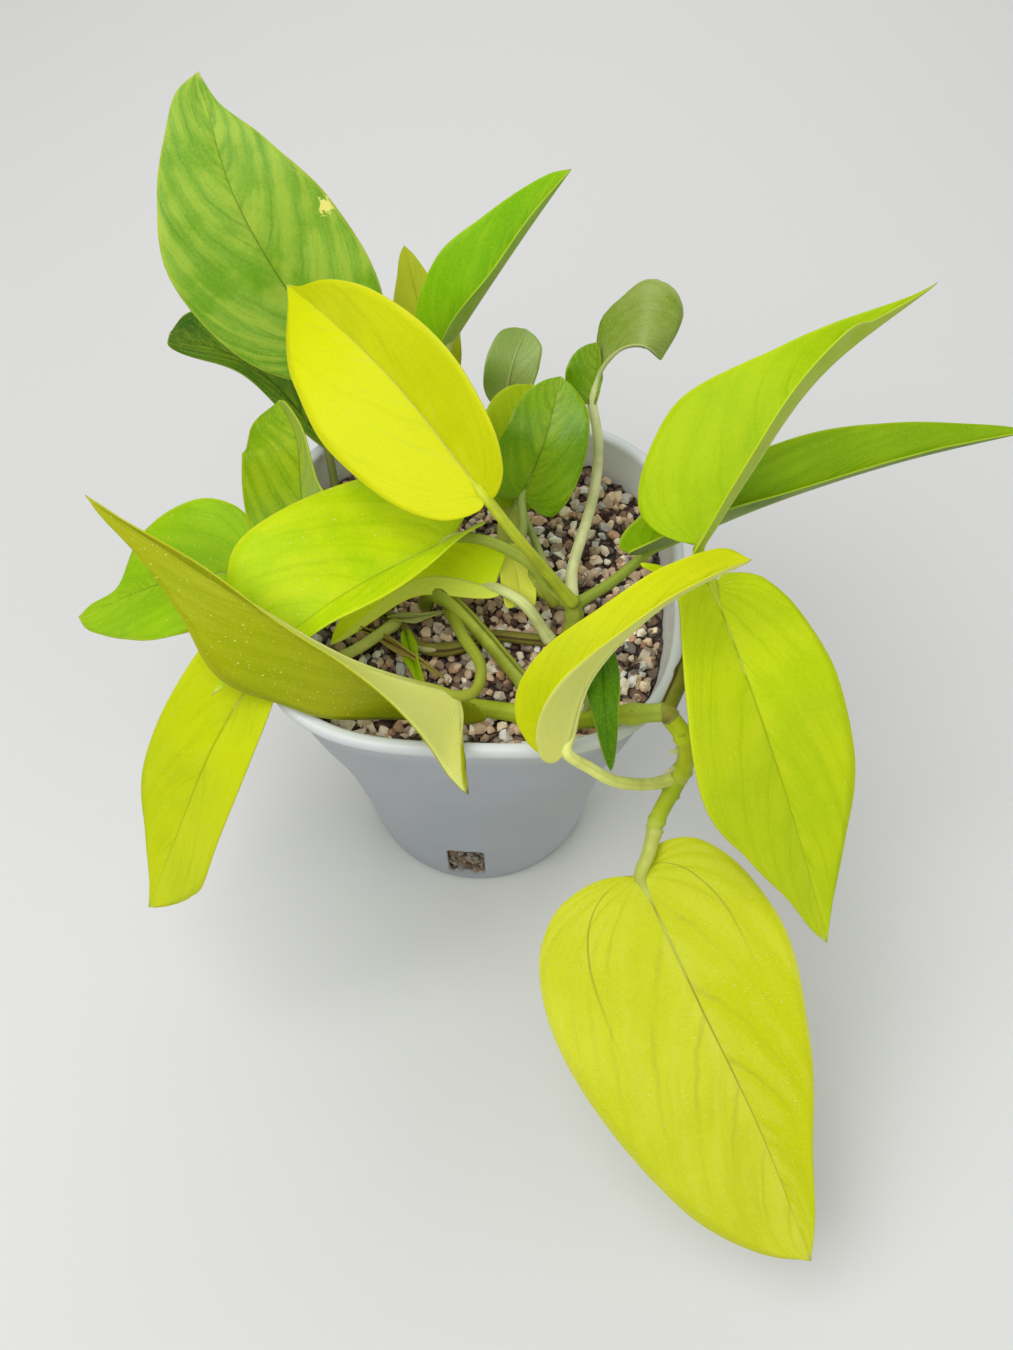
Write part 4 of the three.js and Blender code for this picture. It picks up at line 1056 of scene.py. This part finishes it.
def makeLeaf(leaf, seed):
    look = leaf["look"]
    name = pieceName(leaf["node"])
    upper = leafFinish(name + "Upper", look, True, seed)
    under = leafFinish(name + "Under", look, False, seed)
    piece, curve, place = bladePiece(leaf, upper, under)
    parts = [piece]
    if "flap" in leaf:
        parts.append(bladePiece({**leaf["flap"], "look": look}, upper, under)[0])
    if "petiole" in leaf:
        radius = leaf["petioleRadius"]
        path = [seen(*point) for point in leaf["petiole"] + leaf["midrib"][:1]]
        run = SmoothCurve(path).length
        for i in range(10):
            t = stalk["ribStart"] + i * 0.1
            size = mix(radius * stalk["ribWidth"], stalk["tip"], t ** 0.6)
            path.append(place(t, 0, 1)[0] - facingAt(leaf, curve, t)[1] * (size + 0.1))
        whole = SmoothCurve(path)
        joinAt = run / whole.length

        def radiusAt(share):
            if share < joinAt:
                inward = share / joinAt
                flare = mix(stalk["flare"], 1, min(1, inward * 6))
                return radius * flare * mix(1, 0.86, smooth(inward))
            t = (share - joinAt) / (1 - joinAt)
            return mix(radius * 0.86, stalk["tip"], min(1, t ** 0.45))

        young = between(paint(*look["upper"]), paint(204, 210, 130), 0.6)
        if "stalk" in look:
            young = paint(*look["stalk"])
        old = between(shade(young, 0.86), paint(150, 166, 50), 0.25)
        rib = between(paint(*look["under"]), paint(222, 226, 166), 0.3)
        skin = stemFinish(name + "Stalk", young, old, 0.0, 0.06, rib, joinAt)
        parts.append(tubePiece("stalk", whole, radiusAt, skin))
    settle(joinPieces(parts, name), leaf["node"])


# Small things among the stems: dry and green sheaths, a bud, a bare root and the vine's root nubs
sheaths = [
    dict(name="drySheath", slot="vine_crown", faces=[(0, -0.5, 0.85)],
         midrib=[(364, 630, 128.5), (405, 651, 130), (445, 679, 128.5)],
         left=dict(width=1.7, fold=[50, 40]),
         right=dict(width=1.7, fold=[50, 40]),
         look=dict(upper=(168, 150, 84), second=(148, 118, 66), under=(120, 76, 44), rib=(104, 50, 34), veins=0.6,
             relief=0.2)),
    dict(name="paleSheath", slot="vine_crown", faces=[(0, -0.5, 0.85)],
         midrib=[(390, 619, 128), (418, 617, 129.5), (448, 611, 128.5)],
         left=dict(width=1.6, fold=[40]),
         right=dict(width=1.6, fold=[40]),
         look=dict(upper=(186, 192, 128), second=(170, 178, 110), under=(180, 186, 120), rib=(150, 154, 84),
             veins=0.4, relief=0.2)),
    dict(name="lobeSheath", slot="vine_crown", faces=[(0.1, -0.5, 0.85)],
         midrib=[(520, 604, 136), (517, 575, 140), (505, 544, 143)],
         left=dict(width=5.4, fold=[10], reach=0.8, widest=0.45, taper=[0.95, 0.85, 0.5]),
         right=dict(width=5.4, fold=[10], reach=0.8, widest=0.45, taper=[0.95, 0.85, 0.5]),
         look=dict(upper=(214, 220, 70), second=(222, 226, 96), under=(206, 210, 90), rib=(206, 208, 90),
             veins=0.1, relief=0.1, glow=0.06)),
    dict(name="heartSheath", slot="vine_crown", faces=[(0, -0.6, 0.8)],
         midrib=[(516, 556, 139), (508, 530, 142.5), (504, 498, 144)],
         left=dict(width=3.5, fold=[20]),
         right=dict(width=5.5, fold=[30]),
         look=dict(upper=(168, 178, 74), second=(184, 190, 92), under=(160, 170, 80), rib=(150, 152, 60),
             veins=0.2, relief=0.2)),
]
twigs = [
    dict(name="bareRoot", slot="vine_crown", radius=1.05, thin=0.7, young=(196, 196, 140), old=(170, 166, 110),
         points=[(404, 626, 126), (408, 640, 126), (422, 649, 126.5), (445, 649, 126.5), (464, 645, 125.5)]),
    dict(name="oliveBud", slot="vine_crown", radius=2.1, thin=0.35, young=(150, 158, 50), old=(132, 138, 40),
         points=[(556, 603, 135), (545, 592, 138), (535, 584, 139.5)]),
    dict(name="brownTwig", slot="vine_crown", radius=0.7, thin=0.6, young=(96, 70, 44), old=(74, 52, 36),
         points=[(352, 506, 126), (359, 488, 130), (362, 470, 132)]),
    dict(name="upperNub", slot="vine_front", radius=1.0, thin=0.5, young=(226, 222, 170), old=(200, 190, 130),
         points=[(678, 750, 129), (674, 752, 130), (670, 752, 130)]),
    dict(name="lowerNub", slot="vine_front", radius=1.0, thin=0.5, young=(226, 222, 170), old=(200, 190, 130),
         points=[(675, 768, 119), (671, 770, 120), (667, 771, 120)]),
]


def makeSmallThings():
    for seed, sheath in enumerate(sheaths, 31):
        upper = leafFinish(sheath["name"] + "Upper", sheath["look"], True, seed)
        under = leafFinish(sheath["name"] + "Under", sheath["look"], False, seed)
        piece = bladePiece(sheath, upper, under)[0]
        piece.name = sheath["name"]
        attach(piece, "root")
    for twig in twigs:
        def radiusAt(share, thick=twig["radius"], thin=twig["radius"] * twig["thin"]):
            return mix(thick, thin, share)
        skin = stemFinish(twig["name"] + "Skin", paint(*twig["young"]), paint(*twig["old"]), 0.3, 0.0)
        curve = SmoothCurve([seen(*point) for point in twig["points"]])
        piece = tubePiece(twig["name"], curve, radiusAt, skin)
        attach(piece, "root")


# Stage
stage = {
    "floor": 3.0, "floorColour": (222, 222, 219), "world": 0.4,
    "lights": [
        {"name": "keyLight", "place": (-0.35, -0.25, 0.95), "size": 0.8, "power": 7},
        {"name": "fillLight", "place": (0.75, -0.5, 0.6), "size": 0.9, "power": 2.6},
        {"name": "backLight", "place": (0.1, 0.8, 0.7), "size": 0.8, "power": 2.6},
    ],
}


def makeStage():
    leaveAll()
    bpy.ops.mesh.primitive_plane_add(size=stage["floor"], location=(0, 0, -0.0005))
    floor = bpy.context.object
    floor.name = "floor"
    finish = Finish("floorPaper", Roughness=0.9)
    finish.shader.inputs["Base Color"].default_value = paint(*stage["floorColour"])
    floor.data.materials.append(finish.material)
    world = bpy.data.worlds.new("studio")
    world.use_nodes = True
    world.node_tree.nodes["Background"].inputs["Color"].default_value = paint(236, 238, 240)
    world.node_tree.nodes["Background"].inputs["Strength"].default_value = stage["world"]
    bpy.context.scene.world = world
    target = Vector((0, 0, 0.12))
    for light in stage["lights"]:
        data = bpy.data.lights.new(light["name"], "AREA")
        data.size = light["size"]
        data.energy = light["power"]
        lamp = bpy.data.objects.new(light["name"], data)
        lamp.location = light["place"]
        lamp.rotation_euler = (target - lamp.location).to_track_quat("-Z", "Y").to_euler()
        bpy.context.scene.collection.objects.link(lamp)


def makeCamera():
    data = bpy.data.cameras.new("photoCamera")
    data.lens = photo["lens"]
    data.sensor_width = photo["film"]
    camera = bpy.data.objects.new("photoCamera", data)
    camera.location = Vector(photo["place"]) * mm
    camera.rotation_euler = (math.radians(90 - photo["pitch"]), 0, 0)
    data.clip_start = 0.01
    bpy.context.scene.collection.objects.link(camera)
    bpy.context.scene.camera = camera
    bpy.context.scene.view_settings.view_transform = "Standard"


makeCamera()
makeStage()
print("camera and studio ready")
makePot()
print("pot ready")
makeGrit()
print("grit ready")
makeVines()
print("vines ready")
for seed, leaf in enumerate(leaves, 1):
    makeLeaf(leaf, seed)
    print("leaf ready:", leaf["node"])
makeSmallThings()
print("sheaths, bud and roots ready")
